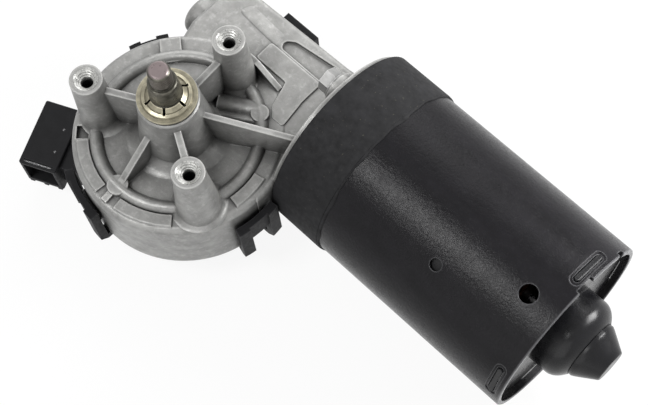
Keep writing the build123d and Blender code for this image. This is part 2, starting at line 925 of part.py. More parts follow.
with BuildPart() as output_shaft:
    shaft_bottom_z = insert_bottom_z - shaft_below_wheel
    turn_on_shaft(
        (0, shaft_bottom_z),
        (shaft_r - shaft_tip_chamfer, shaft_bottom_z),
        (shaft_r, shaft_bottom_z + shaft_tip_chamfer),
        (shaft_r, shaft_relief_z),
        (shaft_r - shaft_relief_depth, shaft_relief_z),
        (shaft_r - shaft_relief_depth, shaft_relief_z + shaft_relief_width),
        (shaft_r, shaft_relief_z + shaft_relief_width),
        (shaft_taper_tip_r, shaft_thread_start - taper_edge),
        (shaft_taper_tip_r - taper_edge, shaft_thread_start),
        (shaft_thread_r, shaft_thread_start),
        (shaft_thread_r, shaft_tip - shaft_tip_chamfer),
        (shaft_thread_r - shaft_tip_chamfer, shaft_tip),
        (0, shaft_tip),
    )
output_shaft.part.label = "output_shaft"

with BuildPart() as upper_shaft_bush:
    ring_on_shaft(
        tower_top_z - seal_ring_height - bush_length,
        tower_top_z - seal_ring_height,
        shaft_r + bush_wall,
        shaft_r + running_fit,
    )
upper_shaft_bush.part.label = "upper_shaft_bush"

with BuildPart() as lower_shaft_bush:
    ring_on_shaft(
        inner_hub_z, inner_hub_z + bush_length, shaft_r + bush_wall, shaft_r + running_fit
    )
lower_shaft_bush.part.label = "lower_shaft_bush"

with BuildPart() as shaft_seal_ring:
    ring_on_shaft(
        tower_top_z - seal_ring_height, tower_top_z, shaft_r + bush_wall, shaft_r + running_fit
    )
shaft_seal_ring.part.label = "shaft_seal_ring"

with BuildPart() as upper_thrust_washer:
    ring_on_shaft(
        tower_top_z,
        tower_top_z + thrust_washer_thickness,
        thrust_washer_r,
        shaft_r + running_fit,
    )
upper_thrust_washer.part.label = "upper_thrust_washer"

with BuildPart() as lower_thrust_washer:
    ring_on_shaft(
        insert_top_z + axial_play, inner_hub_z, thrust_washer_r, shaft_r + running_fit
    )
lower_thrust_washer.part.label = "lower_thrust_washer"

retainer_z = tower_top_z + thrust_washer_thickness + axial_play

with BuildPart() as retainer_washer:
    # Push-on star washer: flat rim, a raised dome, then teeth that bite on the shaft
    knee_r = retainer_r - retainer_rim
    dome_r = knee_r - retainer_dome_width
    dome_z = retainer_z + retainer_dome_rise
    tooth_z = retainer_z + retainer_rise
    turn_on_shaft(
        (knee_r, retainer_z),
        (retainer_r, retainer_z),
        (retainer_r, retainer_z + retainer_thickness),
        (knee_r, retainer_z + retainer_thickness),
        (knee_r - retainer_bend, dome_z + retainer_thickness - retainer_bend),
        (dome_r, dome_z + retainer_thickness),
        (dome_r - retainer_bend, dome_z + retainer_thickness - retainer_bend / 2),
        (shaft_r + seat_fit, tooth_z + retainer_thickness),
        (shaft_r + seat_fit, tooth_z),
        (dome_r - retainer_bend, dome_z - retainer_bend / 2),
        (knee_r - 2 * retainer_bend, dome_z - retainer_bend),
    )
    for n in range(retainer_teeth):
        block_at_angle(
            retainer_slit_angle + n * 360 / retainer_teeth,
            retainer_z,
            retainer_z + retainer_rise + retainer_thickness,
            shaft_r,
            dome_r + retainer_bend,
            -retainer_slit_width / 2,
            retainer_slit_width / 2,
            mode=Mode.SUBTRACT,
        )
retainer_washer.part.label = "retainer_washer"

# ---------------------------------------------------------------- worm wheel

def involute(angle):
    """Involute function of a pressure angle in radians."""
    return math.tan(angle) - angle


def tooth_half_angle(radius):
    """Half the angle that one wheel tooth takes up at a radius, in radians."""
    alpha = math.radians(pressure_angle)
    base_r = wheel_pitch_r * math.cos(alpha)
    at_radius = math.acos(base_r / radius)
    half_thickness = math.pi * gear_module / 4 - flank_clearance
    return half_thickness / wheel_pitch_r + involute(alpha) - involute(at_radius)


def wheel_outline(turn):
    """Closed outline of the toothed wheel, turned by some radians."""
    points = []
    for tooth in range(wheel_teeth):
        centre = math.pi / 2 + turn + 2 * math.pi * (tooth + 0.5) / wheel_teeth
        root_half = tooth_half_angle(wheel_root_r)
        tip_half = tooth_half_angle(wheel_tip_r)
        for radius, offset in (
            (wheel_root_r, -root_half),
            (wheel_tip_r, -tip_half),
            (wheel_tip_r, tip_half),
            (wheel_root_r, root_half),
        ):
            a = centre + offset
            points.append((radius * math.cos(a), radius * math.sin(a)))
    return points


# The teeth lean with the worm's lead across the face
lean = gear_module / (2 * worm_pitch_r) * wheel_face / 2 / wheel_pitch_r

with BuildPart() as worm_wheel:
    for level, turn in ((wheel_bottom_z, -lean), (wheel_top_z, lean)):
        with BuildSketch(Plane.XY.offset(level)):
            with BuildLine():
                Polyline(*wheel_outline(turn), close=True)
            make_face()
    loft(ruled=True)
    # Dished above the web, with the hub left standing
    ring_on_shaft(
        wheel_bottom_z + wheel_web, wheel_top_z, wheel_rim_inner_r, wheel_hub_r,
        mode=Mode.SUBTRACT,
    )
    for n in range(wheel_ribs):
        block_at_angle(
            wheel_rib_angle + n * 360 / wheel_ribs,
            wheel_bottom_z + wheel_web,
            wheel_top_z - wheel_rib_drop,
            wheel_hub_r - rooting,
            wheel_rim_inner_r + rooting,
            -wheel_rib_width / 2,
            wheel_rib_width / 2,
        )
    ring_on_shaft(wheel_bottom_z, wheel_top_z, insert_r + seat_fit, mode=Mode.SUBTRACT)
worm_wheel.part.label = "worm_wheel"

with BuildPart() as wheel_insert:
    # Steel hub moulded into the wheel and pressed on the shaft
    ring_on_shaft(insert_bottom_z, insert_top_z, insert_r, shaft_r + seat_fit)
    fillet(wheel_insert.edges().sort_by(Axis.Z)[-1], radius=insert_edge_radius)
wheel_insert.part.label = "wheel_insert"

with BuildPart() as park_contact_disc:
    ring_on_shaft(
        wheel_bottom_z - contact_disc_thickness,
        wheel_bottom_z,
        contact_disc_outer_r,
        contact_disc_inner_r,
    )
    # Gap that stops the wiper at its parked place
    block_at_angle(
        park_gap_angle, wheel_bottom_z - contact_disc_thickness, wheel_bottom_z,
        contact_disc_outer_r - park_gap_depth, contact_disc_outer_r + rooting,
        -park_gap_width / 2, park_gap_width / 2,
        mode=Mode.SUBTRACT,
    )
park_contact_disc.part.label = "park_contact_disc"

with BuildPart() as park_contacts:
    # Three sprung fingers that stand on the cover and run on the disc
    finger_gap_z = wheel_bottom_z - contact_disc_thickness - side_gap
    foot_end = park_foot_start + park_foot_length
    foot_top_z = cover_top_z + park_finger_thickness
    finger_pitch = (contact_disc_outer_r - contact_disc_inner_r) / park_fingers
    for n in range(park_fingers):
        finger_at = contact_disc_inner_r + finger_pitch * (n + 0.5)
        with BuildSketch(
            Plane(origin=(0, -finger_at, 0), x_dir=(1, 0, 0), z_dir=(0, -1, 0))
        ):
            with BuildLine():
                Polyline(
                    (park_foot_start, cover_top_z),
                    (foot_end, cover_top_z),
                    (foot_end, foot_top_z),
                    (foot_end - park_finger_bend + 1, foot_top_z),
                    (park_tip_end - park_tip_length, finger_gap_z - park_finger_thickness),
                    (park_tip_end, finger_gap_z - park_finger_thickness),
                    (park_tip_end, finger_gap_z),
                    (park_tip_end - park_tip_length - 0.5, finger_gap_z),
                    (foot_end - park_finger_bend - 0.5, foot_top_z),
                    (park_foot_start, foot_top_z),
                    close=True,
                )
            make_face()
        extrude(amount=park_finger_width / 2, both=True)
park_contacts.part.label = "park_contacts"

# ---------------------------------------------------------------- armature

worm_journal_end = worm_boss_end + worm_boss_wall + 2 * ball_r

with BuildPart() as armature_shaft:
    turn_on_motor(
        (worm_journal_end, 0),
        (worm_journal_end, journal_r - journal_chamfer),
        (worm_journal_end + journal_chamfer, journal_r),
        (worm_journal_end + worm_journal_length, journal_r),
        (worm_journal_end + worm_journal_length, worm_root_r),
        (bearing_start - worm_core_setback, worm_root_r),
        (bearing_start - worm_core_setback, armature_r),
        (cap_start - journal_setback, armature_r),
        (cap_start - journal_setback, journal_r),
        (shaft_end_x - journal_chamfer, journal_r),
        (shaft_end_x, journal_r - journal_chamfer),
        (shaft_end_x, 0),
    )
    # Worm thread: the helix starts above the axis and reaches the wheel side a quarter
    # turn later, so that a thread crest faces the wheel at x = 0
    with BuildLine() as thread_path:
        Helix(
            pitch=worm_pitch,
            height=worm_turns * worm_pitch,
            radius=worm_pitch_r,
            center=(-(worm_turns / 2 + 0.25) * worm_pitch, worm_y, worm_z),
            direction=(1, 0, 0),
        )
    slope = math.tan(math.radians(pressure_angle))
    pitch_half = math.pi * gear_module / 4 - flank_clearance
    root_depth = worm_pitch_r - worm_root_r + side_gap
    with BuildSketch(
        Plane(origin=thread_path.line @ 0, x_dir=(0, 0, 1), z_dir=thread_path.line % 0)
    ):
        with BuildLine():
            Polyline(
                (-root_depth, -pitch_half - root_depth * slope),
                (gear_module, -pitch_half + gear_module * slope),
                (gear_module, pitch_half - gear_module * slope),
                (-root_depth, pitch_half + root_depth * slope),
                close=True,
            )
        make_face()
    sweep(path=thread_path.line, is_frenet=True)
armature_shaft.part.label = "armature_shaft"

slot_mid_r = core_r - core_slot_rim - core_slot_depth / 2

with BuildPart() as armature_core:
    with BuildSketch(across_motor(core_start)):
        Circle(core_r)
        Circle(armature_r + seat_fit, mode=Mode.SUBTRACT)
        with PolarLocations(core_r, core_slots):
            Rectangle(2 * core_slot_rim + rooting, core_slot_mouth, mode=Mode.SUBTRACT)
        with PolarLocations(slot_mid_r, core_slots):
            Rectangle(core_slot_depth, core_slot_width, mode=Mode.SUBTRACT)
    extrude(amount=core_length)
armature_core.part.label = "armature_core"

with BuildPart() as armature_windings:
    with BuildSketch(across_motor(core_start - winding_gap - side_gap)):
        with PolarLocations(slot_mid_r, core_slots):
            Rectangle(core_slot_depth - 2 * winding_gap, core_slot_width - 2 * winding_gap)
    extrude(amount=core_length + 2 * (winding_gap + side_gap))
    for start in (winding_start, core_start + core_length + side_gap):
        ring_on_motor(
            start, start + winding_overhang - side_gap, winding_r, armature_r + winding_bore_gap
        )
armature_windings.part.label = "armature_windings"

with BuildPart() as commutator:
    ring_on_motor(
        commutator_start, commutator_start + commutator_length, commutator_r,
        armature_r + seat_fit,
    )
    with BuildSketch(across_motor(commutator_start)):
        with PolarLocations(commutator_r, commutator_bars):
            Rectangle(2 * commutator_cut_depth, commutator_cut_width)
    extrude(amount=commutator_length, mode=Mode.SUBTRACT)
commutator.part.label = "commutator"

with BuildPart() as worm_end_bush:
    ring_on_motor(
        worm_journal_end, worm_journal_end + worm_journal_length - side_gap,
        journal_r + bush_wall, journal_r + running_fit,
    )
worm_end_bush.part.label = "worm_end_bush"

with BuildPart() as thrust_ball:
    with BuildSketch(along_motor()):
        with BuildLine():
            CenterArc((worm_journal_end - ball_r, 0), ball_r, 0, 180)
            Line(
                (worm_journal_end - 2 * ball_r, 0),
                (worm_journal_end, 0),
            )
        make_face()
    revolve(axis=motor_axis)
thrust_ball.part.label = "thrust_ball"

with BuildPart() as mid_bearing:
    ring_on_motor(
        bearing_start, bearing_start + bearing_width, bearing_r, armature_r + running_fit
    )
    for start in (bearing_start, bearing_start + bearing_width - bearing_shield_depth):
        ring_on_motor(
            start, start + bearing_shield_depth, bearing_r - bearing_race,
            armature_r + bearing_race, mode=Mode.SUBTRACT,
        )
mid_bearing.part.label = "mid_bearing"

# ---------------------------------------------------------------- motor can and its end

end_lug_x = (end_plate_front + end_plate_back) / 2

with BuildPart() as slot_relief:
    for n in range(end_lug_count):
        lug_angle = end_lug_first_angle + n * 360 / end_lug_count
        with BuildSketch(over_motor(lug_angle, end_lug_x, can_r + 1)):
            SlotOverall(
                end_lug_length + 2 * slot_relief_margin,
                slot_width + slot_relief_margin,
                rotation=90,
            )
        extrude(amount=-2 * can_wall)
    ring_on_motor(can_start, can_end, can_r - slot_relief_depth, mode=Mode.SUBTRACT)

with BuildPart() as motor_can:
    ring_on_motor(can_start, can_end, can_r)
    chamfer(
        motor_can.edges().filter_by(GeomType.CIRCLE).sort_by(Axis.X)[-1], length=can_edge
    )
    ring_on_motor(can_start + can_wall, can_end, can_bore_r, mode=Mode.SUBTRACT)
    ring_on_motor(can_start, can_start + can_wall, can_lip_r, mode=Mode.SUBTRACT)
    fillet(
        motor_can.edges().filter_by(GeomType.CIRCLE).group_by(Axis.X)[0].sort_by(
            SortBy.RADIUS
        )[-1],
        radius=can_shoulder_radius,
    )
    # Threaded holes for the flange screws in the lip
    with BuildSketch(across_motor(can_start)):
        with PolarLocations(screw_pitch_r, 2, start_angle=screw_first_angle):
            Circle(screw_shank_r + seat_fit)
    extrude(amount=can_wall, mode=Mode.SUBTRACT)
    # Round holes in the wall
    for x, angle, radius in (
        (small_hole_x, small_hole_angle, small_hole_r),
        (large_hole_x, large_hole_angle, large_hole_r),
    ):
        with BuildSketch(over_motor(angle, x, can_r)):
            Circle(radius)
        extrude(amount=-2 * can_wall, mode=Mode.SUBTRACT)
    # Slots that the end plate's lugs are staked into, each in a shallow stamped relief
    for n in range(end_lug_count):
        lug_angle = end_lug_first_angle + n * 360 / end_lug_count
        with BuildSketch(over_motor(lug_angle, end_lug_x, can_r + 1)):
            SlotOverall(end_lug_length + slot_play, slot_width, rotation=90)
        extrude(amount=-4 * can_wall, mode=Mode.SUBTRACT)
    add(slot_relief.part, mode=Mode.SUBTRACT)
    # Notches in the rim
    for angle, span in rim_notches:
        with BuildSketch(across_motor(can_end - rim_notch_depth)):
            with PolarLocations(can_r, 1, start_angle=angle):
                Rectangle(4 * can_wall, 2 * can_r * math.sin(math.radians(span / 2)))
        extrude(amount=rim_notch_depth, mode=Mode.SUBTRACT)
motor_can.part.label = "motor_can"

cup_shoulder_x = end_plate_back + cup_length
cup_dome_run = cup_dome_stretch * cup_slope_length
cap_clear_r = cap_body_r + side_gap

with BuildPart() as end_plate:
    ring_on_motor(end_plate_front, end_plate_back, can_bore_r - seat_fit)
    # Domed cup: straight wall, then a quarter ellipse in to the mouth
    for wall, mode in ((0, Mode.ADD), (cup_wall, Mode.SUBTRACT)):
        with BuildSketch(along_motor()):
            with BuildLine():
                Line((end_plate_front, 0), (end_plate_front, cup_r - wall))
                Line((end_plate_front, cup_r - wall), (cup_shoulder_x, cup_r - wall))
                EllipticalCenterArc(
                    (cup_shoulder_x, 0), cup_dome_run - wall, cup_r - wall, arc_size=90
                )
                Line((cup_shoulder_x + cup_dome_run - wall, 0), (end_plate_front, 0))
            make_face()
        revolve(axis=motor_axis, mode=mode)
    ring_on_motor(cone_start, cone_start + cup_slope_length, cup_r, mode=Mode.SUBTRACT)
    ring_on_motor(end_plate_back, cone_start, cap_clear_r, mode=Mode.SUBTRACT)
    # Lugs that reach into the slots of the can
    for n in range(end_lug_count):
        lug_angle = end_lug_first_angle + n * 360 / end_lug_count
        with BuildSketch(over_motor(lug_angle, end_lug_x, can_bore_r - end_lug_root)):
            SlotOverall(end_lug_length, slot_width - slot_play, rotation=90)
        extrude(amount=end_lug_root + can_wall - end_lug_recess)
end_plate.part.label = "end_plate"

with BuildPart() as bearing_cap:
    turn_on_motor(
        (cap_start, 0),
        (cap_start, cap_flange_r),
        (cap_start + cap_flange_thickness, cap_flange_r),
        (cap_start + cap_flange_thickness, cap_body_r),
        (cone_start + side_gap, cap_body_r),
        (cone_start + side_gap + 2 * cone_waist, cap_body_r - cone_waist),
        (cone_start + cone_length, cone_tip_r),
        (cone_start + cone_length, 0),
    )
    ring_on_motor(
        cap_start, cap_start + end_bush_length, end_bush_r + seat_fit, mode=Mode.SUBTRACT
    )
    fillet(bearing_cap.edges().sort_by(Axis.X)[-1], radius=cone_tip_radius)
bearing_cap.part.label = "bearing_cap"

with BuildPart() as end_bush:
    ring_on_motor(
        cap_start, cap_start + end_bush_length, end_bush_r, journal_r + running_fit
    )
end_bush.part.label = "end_bush"

with BuildPart() as magnets:
    with BuildSketch(across_motor(magnet_start)):
        Circle(can_bore_r - seat_fit)
        Circle(magnet_inner_r, mode=Mode.SUBTRACT)
        with PolarLocations(can_bore_r, 2):
            Rectangle(
                3 * magnet_thickness,
                2 * magnet_inner_r * math.cos(math.radians(magnet_span / 2)),
                mode=Mode.SUBTRACT,
            )
    extrude(amount=magnet_length)
magnets.part.label = "magnets"

with BuildPart() as sealing_band:
    ring_on_motor(
        can_start, can_start + band_length, can_r + seat_fit + band_thickness, can_r + seat_fit
    )
    fillet(
        sealing_band.edges().filter_by(GeomType.CIRCLE).sort_by(SortBy.RADIUS)[-2:],
        radius=band_thickness * 0.6,
    )
sealing_band.part.label = "sealing_band"

with BuildPart() as flange_screws:
    head_back = flange_front - flange_pad_height - screw_washer_thickness
    with BuildSketch(across_motor(head_back)):
        with PolarLocations(screw_pitch_r, 2, start_angle=screw_first_angle):
            Circle(screw_washer_r)
    extrude(amount=screw_washer_thickness)
    with BuildSketch(across_motor(head_back)):
        with PolarLocations(screw_pitch_r, 2, start_angle=screw_first_angle):
            RegularPolygon(screw_head_r, 6, major_radius=False)
    extrude(amount=-screw_head_height)
    with BuildSketch(across_motor(flange_front - flange_pad_height)):
        with PolarLocations(screw_pitch_r, 2, start_angle=screw_first_angle):
            Circle(screw_shank_r)
    extrude(amount=screw_shank_length)
flange_screws.part.label = "flange_screws"

# ---------------------------------------------------------------- brush gear

brush_plate_back = can_start + brush_plate_thickness
brush_mid_x = brush_plate_back + brush_thickness / 2 + side_gap

with BuildPart() as brush_plate:
    ring_on_motor(can_start, brush_plate_back, brush_plate_r, brush_plate_bore)
    # Open-topped brush boxes
    with BuildSketch(across_motor(brush_plate_back)):
        for angle in brush_angles:
            a = math.radians(angle)
            holder_r = commutator_r + holder_setback + brush_length / 2
            with Locations(Location((holder_r * math.cos(a), holder_r * math.sin(a)), angle)):
                Rectangle(brush_length - 1, brush_width + 2 * (holder_wall + seat_fit))
                Rectangle(
                    brush_length - 1, brush_width + 2 * seat_fit, mode=Mode.SUBTRACT
                )
    extrude(amount=brush_thickness + side_gap)
brush_plate.part.label = "brush_plate"

with BuildPart() as brushes:
    with BuildSketch(across_motor(brush_plate_back + side_gap / 2)):
        for angle in brush_angles:
            a = math.radians(angle)
            brush_r = commutator_r + side_gap + brush_length / 2
            with Locations(Location((brush_r * math.cos(a), brush_r * math.sin(a)), angle)):
                Rectangle(brush_length, brush_width)
    extrude(amount=brush_thickness)
brushes.part.label = "brushes"

with BuildPart() as brush_springs:
    for angle in brush_angles:
        spring_start_r = commutator_r + brush_length + 1.5 * side_gap
        with BuildSketch(over_motor(angle, brush_mid_x, spring_start_r)):
            Circle(spring_r)
            Circle(spring_r - spring_wire, mode=Mode.SUBTRACT)
        extrude(amount=spring_length)
brush_springs.part.label = "brush_springs"

with BuildPart() as chokes:
    with BuildSketch(across_motor(brush_plate_back)):
        for angle in choke_angles:
            a = math.radians(angle)
            choke_at = brush_plate_r - choke_r - 2 * side_gap
            with Locations((choke_at * math.cos(a), choke_at * math.sin(a))):
                Circle(choke_r)
    extrude(amount=choke_length)
chokes.part.label = "chokes"

# ---------------------------------------------------------------- hand-in

sub_parts = (
    gear_housing,
    gear_cover,
    cover_gasket,
    connector_housing,
    connector_terminals,
    output_shaft,
    upper_shaft_bush,
    lower_shaft_bush,
    shaft_seal_ring,
    upper_thrust_washer,
    lower_thrust_washer,
    retainer_washer,
    worm_wheel,
    wheel_insert,
    park_contact_disc,
    park_contacts,
    armature_shaft,
    armature_core,
    armature_windings,
    commutator,
    worm_end_bush,
    thrust_ball,
    mid_bearing,
    motor_can,
    end_plate,
    bearing_cap,
    end_bush,
    magnets,
    sealing_band,
    flange_screws,
    brush_plate,
    brushes,
    brush_springs,
    chokes,
)

os.makedirs("parts", exist_ok=True)
for sub_part in sub_parts:
    export_step(sub_part.part, f"parts/{sub_part.part.label}.step")
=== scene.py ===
import json
import math

import bpy
import numpy as np
from bpy.props import FloatProperty, FloatVectorProperty, PointerProperty
from mathutils import Matrix, Vector


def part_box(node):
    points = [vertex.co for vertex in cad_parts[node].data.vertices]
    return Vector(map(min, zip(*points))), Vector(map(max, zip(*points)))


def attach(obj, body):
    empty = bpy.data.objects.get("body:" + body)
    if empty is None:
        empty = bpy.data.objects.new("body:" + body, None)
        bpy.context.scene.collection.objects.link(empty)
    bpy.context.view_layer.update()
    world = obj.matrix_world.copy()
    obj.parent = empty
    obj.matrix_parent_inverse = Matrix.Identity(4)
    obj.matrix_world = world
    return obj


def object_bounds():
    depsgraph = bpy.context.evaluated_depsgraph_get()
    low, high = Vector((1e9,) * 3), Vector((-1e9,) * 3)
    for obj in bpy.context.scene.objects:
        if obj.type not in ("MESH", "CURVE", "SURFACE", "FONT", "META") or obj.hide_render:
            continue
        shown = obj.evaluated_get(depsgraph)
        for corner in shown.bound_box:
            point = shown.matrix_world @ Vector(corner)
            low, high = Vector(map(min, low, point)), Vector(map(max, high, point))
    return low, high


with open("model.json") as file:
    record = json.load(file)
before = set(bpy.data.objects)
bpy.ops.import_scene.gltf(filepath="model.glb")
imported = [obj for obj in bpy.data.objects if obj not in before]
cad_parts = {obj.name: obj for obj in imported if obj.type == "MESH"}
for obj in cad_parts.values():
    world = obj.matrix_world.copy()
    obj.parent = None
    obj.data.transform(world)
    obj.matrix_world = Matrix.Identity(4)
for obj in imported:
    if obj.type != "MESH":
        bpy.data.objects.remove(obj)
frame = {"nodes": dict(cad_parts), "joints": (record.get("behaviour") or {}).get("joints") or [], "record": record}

bl_info = {
    "name": "Wiper motor finish",
    "version": (1, 0, 0),
    "blender": (4, 5, 0),
    "location": "3D View > Sidebar > Wiper motor",
    "description": "Finishes, surface detail and studio for a worm-geared wiper motor",
    "category": "Object",
}

CAD_LOW, CAD_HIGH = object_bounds()

MM = 0.001

# Places read from the frame
JOINTS = {joint["name"]: joint for joint in frame["joints"]}
MOUNTS = {mount["name"]: mount for mount in frame["record"]["mounts"]}
MOTOR_Y, MOTOR_Z = JOINTS["armature_spin"]["pos_m"][1:]
BOSS_CIRCLE = MOUNTS["mounting_bosses"]["dims"]["pcd_mm"] / 2 * MM
SHAFT_END_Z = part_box("output_shaft")[1].z
CAN_END_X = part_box("motor_can")[1].x
CAN_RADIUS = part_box("motor_can")[1].z - MOTOR_Z
BAND_EDGE_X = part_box("sealing_band")[1].x
CONNECTOR_TOP_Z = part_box("connector_housing")[1].z

# Casting: what is added sinks by ROOT into the face that carries it
ROOT = 0.05 * MM
DRUM_FACE_Z = -29.0 * MM
TUNNEL_TOP_Z = -29.5 * MM

# Foot of the shaft tower: its reach swells and shrinks a few times a turn
TOWER_RADIUS = 13.3 * MM
TOWER_FOOT_HEIGHT = 8.0 * MM
TOWER_FOOT_REACH = 7.0 * MM
TOWER_FOOT_SWELL = 0.5 * MM
TOWER_FOOT_LOBES = 3

# Mounting bosses, by their angle about the shaft in degrees
BOSS_ANGLES = (90.0, 210.0, 330.0)
BOSS_RADIUS = 7.05 * MM
BOSS_FOOT_INNER_REACH = 3.9 * MM
# Outer reach and height of each boss's foot: the last boss runs out over the drum's rim
BOSS_FEET = ((0.7 * MM, 5.0 * MM), (0.7 * MM, 5.0 * MM), (4.2 * MM, 10.0 * MM))

# Crease along the top of the worm tunnel: steep towards the drum, gentle away from it
CREASE_START = (-19.0 * MM, 50.9 * MM)
CREASE_END = (2.5 * MM, 49.6 * MM)
CREASE_STEEP = 1.0 * MM
CREASE_GENTLE = 5.0 * MM
CREASE_HEIGHT = 0.55 * MM

# Countersunk mouths of the bosses: they start a little below the tips and stand off the
# cone, and the thread's first turns are cut into them
MOUTH_RADIUS = 4.55 * MM
DRILL_RADIUS = 2.5 * MM
MOUTH_DEPTH = 2.1 * MM
MOUTH_START = 0.02 * MM
MOUTH_STAND_OFF = 0.06 * MM
MOUTH_CUT = 0.28 * MM
MOUTH_CUT_PITCH = 0.7 * MM
MOUTH_CUT_ROUNDING = 0.8

# Threads: RIDGE_SHARE of the pitch is the width of a ridge
RIDGE_SHARE = 0.9
BORE_THREAD_RADIUS = 2.52 * MM
BORE_THREAD_HEIGHT = 0.3 * MM
BORE_THREAD_BOTTOM = -20.0 * MM
BORE_THREAD_TOP = -2.6 * MM
TIP_THREAD_RADIUS = 3.99 * MM
TIP_THREAD_HEIGHT = 0.16 * MM
TIP_THREAD_LENGTH = 7.2 * MM
TIP_CHAMFER = 1.0 * MM

# Lip of the sealing band: its width is uneven by waves of a size, a count and a phase
LIP_INSET = 0.1 * MM
LIP_CLEARANCE = 0.01 * MM
LIP_HEIGHT = 0.66 * MM
LIP_WIDTH = 0.9 * MM
LIP_WAVES = ((0.30 * MM, 5, 1.0), (0.22 * MM, 11, 0.0), (0.16 * MM, 23, 2.0))

# Connector: rib at its mouth and round moulding marks on its top
RIB_START = (-46.9 * MM, -43.7 * MM)
RIB_END = (-36.2 * MM, -38.8 * MM)
RIB_HALF_WIDTH = 0.34 * MM
RIB_HEIGHT = 0.24 * MM
MARK_PLACES = ((-44.8 * MM, -24.4 * MM), (-40.5 * MM, -33.1 * MM))
MARK_RADIUS = 0.55 * MM
MARK_HEIGHT = 0.22 * MM

# Where a finish changes: bare rim at the far end of the can, dull face at the end of the
# shaft, and painted shade darkening down the bores
CAN_RIM_START_X = CAN_END_X - 0.6 * MM
CAN_RIM_FULL_X = CAN_END_X - 0.1 * MM
SHAFT_FACE_START_Z = SHAFT_END_Z - 0.6 * MM
SHAFT_FACE_FULL_Z = SHAFT_END_Z - 0.2 * MM
BORE_SHADE_START_Z = -2.2 * MM
BORE_SHADE_FULL_Z = -5.0 * MM

# Colours that show only in spots
# Painted shade deep in the bores
BORE_SHADE = (0.02, 0.02, 0.02)
# Edges of the can: partly rubbed paint, partly a painted highlight
EDGE_WEAR_AND_HIGHLIGHT = (0.10, 0.10, 0.105)
BARE_RIM = (0.11, 0.11, 0.115)
DUST = (0.09, 0.085, 0.065)

# Nodes: axes, where nearly all values of a noise lie, rays per point, and the sockets of
# the Mix node when it mixes colours
X_AXIS = 0
Z_AXIS = 2
NOISE_LOW = 0.3
NOISE_HIGH = 0.7
HOLLOW_SAMPLES = 6
BEVEL_SAMPLES = 5
MIX_FACTOR, MIX_UNDER, MIX_OVER, MIX_RESULT = 0, 6, 7, 2

# Camera: its place, and its right, up and back directions
CAMERA_PLACE = (0.2127, -0.1074, 0.4669)
CAMERA_RIGHT = (0.7177, 0.6946, -0.0502)
CAMERA_UP = (-0.6337, 0.6813, 0.3664)
CAMERA_BACK = (0.2887, -0.2311, 0.9291)
CAMERA_LENS = 82.95
CAMERA_SENSOR = 36.0
CAMERA_NEAR = 0.01

# Studio: a key lamp above the near side of the can, wide fills low in front and behind,
# and a small lamp close behind the end of the can
WORLD_LIGHT = 0.27
LAMP_AIM = (0.09, 0.03, -0.02)
KEY_PLACE = (-0.12, -0.38, 0.77)
KEY_SIZE = 0.26
KEY_POWER = 4.2
FILL_PLACE = (0.44, -0.78, 0.26)
FILL_SIZE = 1.0
FILL_POWER = 3.2
BACK_PLACE = (-0.34, 0.46, 0.30)
BACK_SIZE = 0.60
BACK_POWER = 2.9
RIM_AIM = (0.156, 0.046, -0.03)
RIM_PLACE = (0.226, 0.236, 0.104)
RIM_SIZE = 0.13
RIM_POWER = 1.2
FLOOR_HALF = 2.0
FLOOR_GAP = 0.5 * MM
FLOOR_PAPER = (0.93, 0.93, 0.93)
FLOOR_GLOW = 0.9


# Settings


def colour(label, text, value):
    """Colour property with its label, description and default."""
    return FloatVectorProperty(
        name=label, description=text, default=value, size=3, min=0.0, max=1.0, subtype="COLOR"
    )


def length(label, text, value):
    """Length property in metres."""
    return FloatProperty(
        name=label, description=text, default=value, min=0.0, subtype="DISTANCE", unit="LENGTH"
    )


class WiperMotorColours(bpy.types.PropertyGroup):
    """Colours of the finishes"""

    casting: colour("Casting", "Die-cast aluminium", (0.260, 0.259, 0.251))
    tapped: colour("Tapped bores", "Freshly cut aluminium in the bosses", (0.40, 0.40, 0.385))
    can_paint: colour("Can paint", "Black paint on the motor can", (0.0066, 0.0062, 0.0074))
    gloss_paint: colour("End paint", "Gloss black of the end plate", (0.005, 0.005, 0.006))
    band: colour("Band", "Rubber of the sealing band", (0.0085, 0.0085, 0.0092))
    plastic: colour("Plastic", "Cover, clips and connector", (0.0088, 0.0088, 0.0096))
    polished: colour("Polished marks", "Rib and marks of the connector", (0.03, 0.03, 0.032))
    zinc: colour("Zinc", "Plated star washer", (0.27, 0.25, 0.185))
    screw: colour("Screws", "Plated flange screws", (0.26, 0.26, 0.255))
    shaft: colour("Shaft", "Oiled output shaft", (0.062, 0.059, 0.047))
    shaft_end: colour("Shaft end", "Dull end face of the output shaft", (0.19, 0.155, 0.155))
    thread: colour("Shaft thread", "Cut thread on the tip", (0.12, 0.108, 0.095))
    steel: colour("Steel", "Ground steel inside", (0.50, 0.50, 0.51))
    nylon: colour("Nylon", "Worm wheel", (0.74, 0.69, 0.56))
    copper: colour("Copper", "Commutator", (0.62, 0.27, 0.12))
    wire: colour("Wire", "Varnished windings", (0.10, 0.035, 0.018))
    laminations: colour("Laminations", "Sheets of the core", (0.20, 0.20, 0.205))
    brass: colour("Brass", "Contacts", (0.70, 0.50, 0.20))
    bronze: colour("Bronze", "Sintered bushes", (0.42, 0.28, 0.13))
    card: colour("Card", "Brush plate", (0.16, 0.08, 0.04))
    ferrite: colour("Ferrite", "Magnets and brushes", (0.016, 0.016, 0.017))


class WiperMotorSizes(bpy.types.PropertyGroup):
    """Sizes of the surface detail"""

    shaft_thread_pitch: length("Shaft thread pitch", "Pitch of the thread on the tip", 1.25 * MM)
    boss_thread_pitch: length("Boss thread pitch", "Pitch of the mounting threads", 1.0 * MM)
    casting_grain: length("Casting grain", "Size of the grain on the casting", 0.9 * MM)
    paint_ripple: length("Paint ripple", "Size of the ripple in the paint", 2.4 * MM)


# Finishes


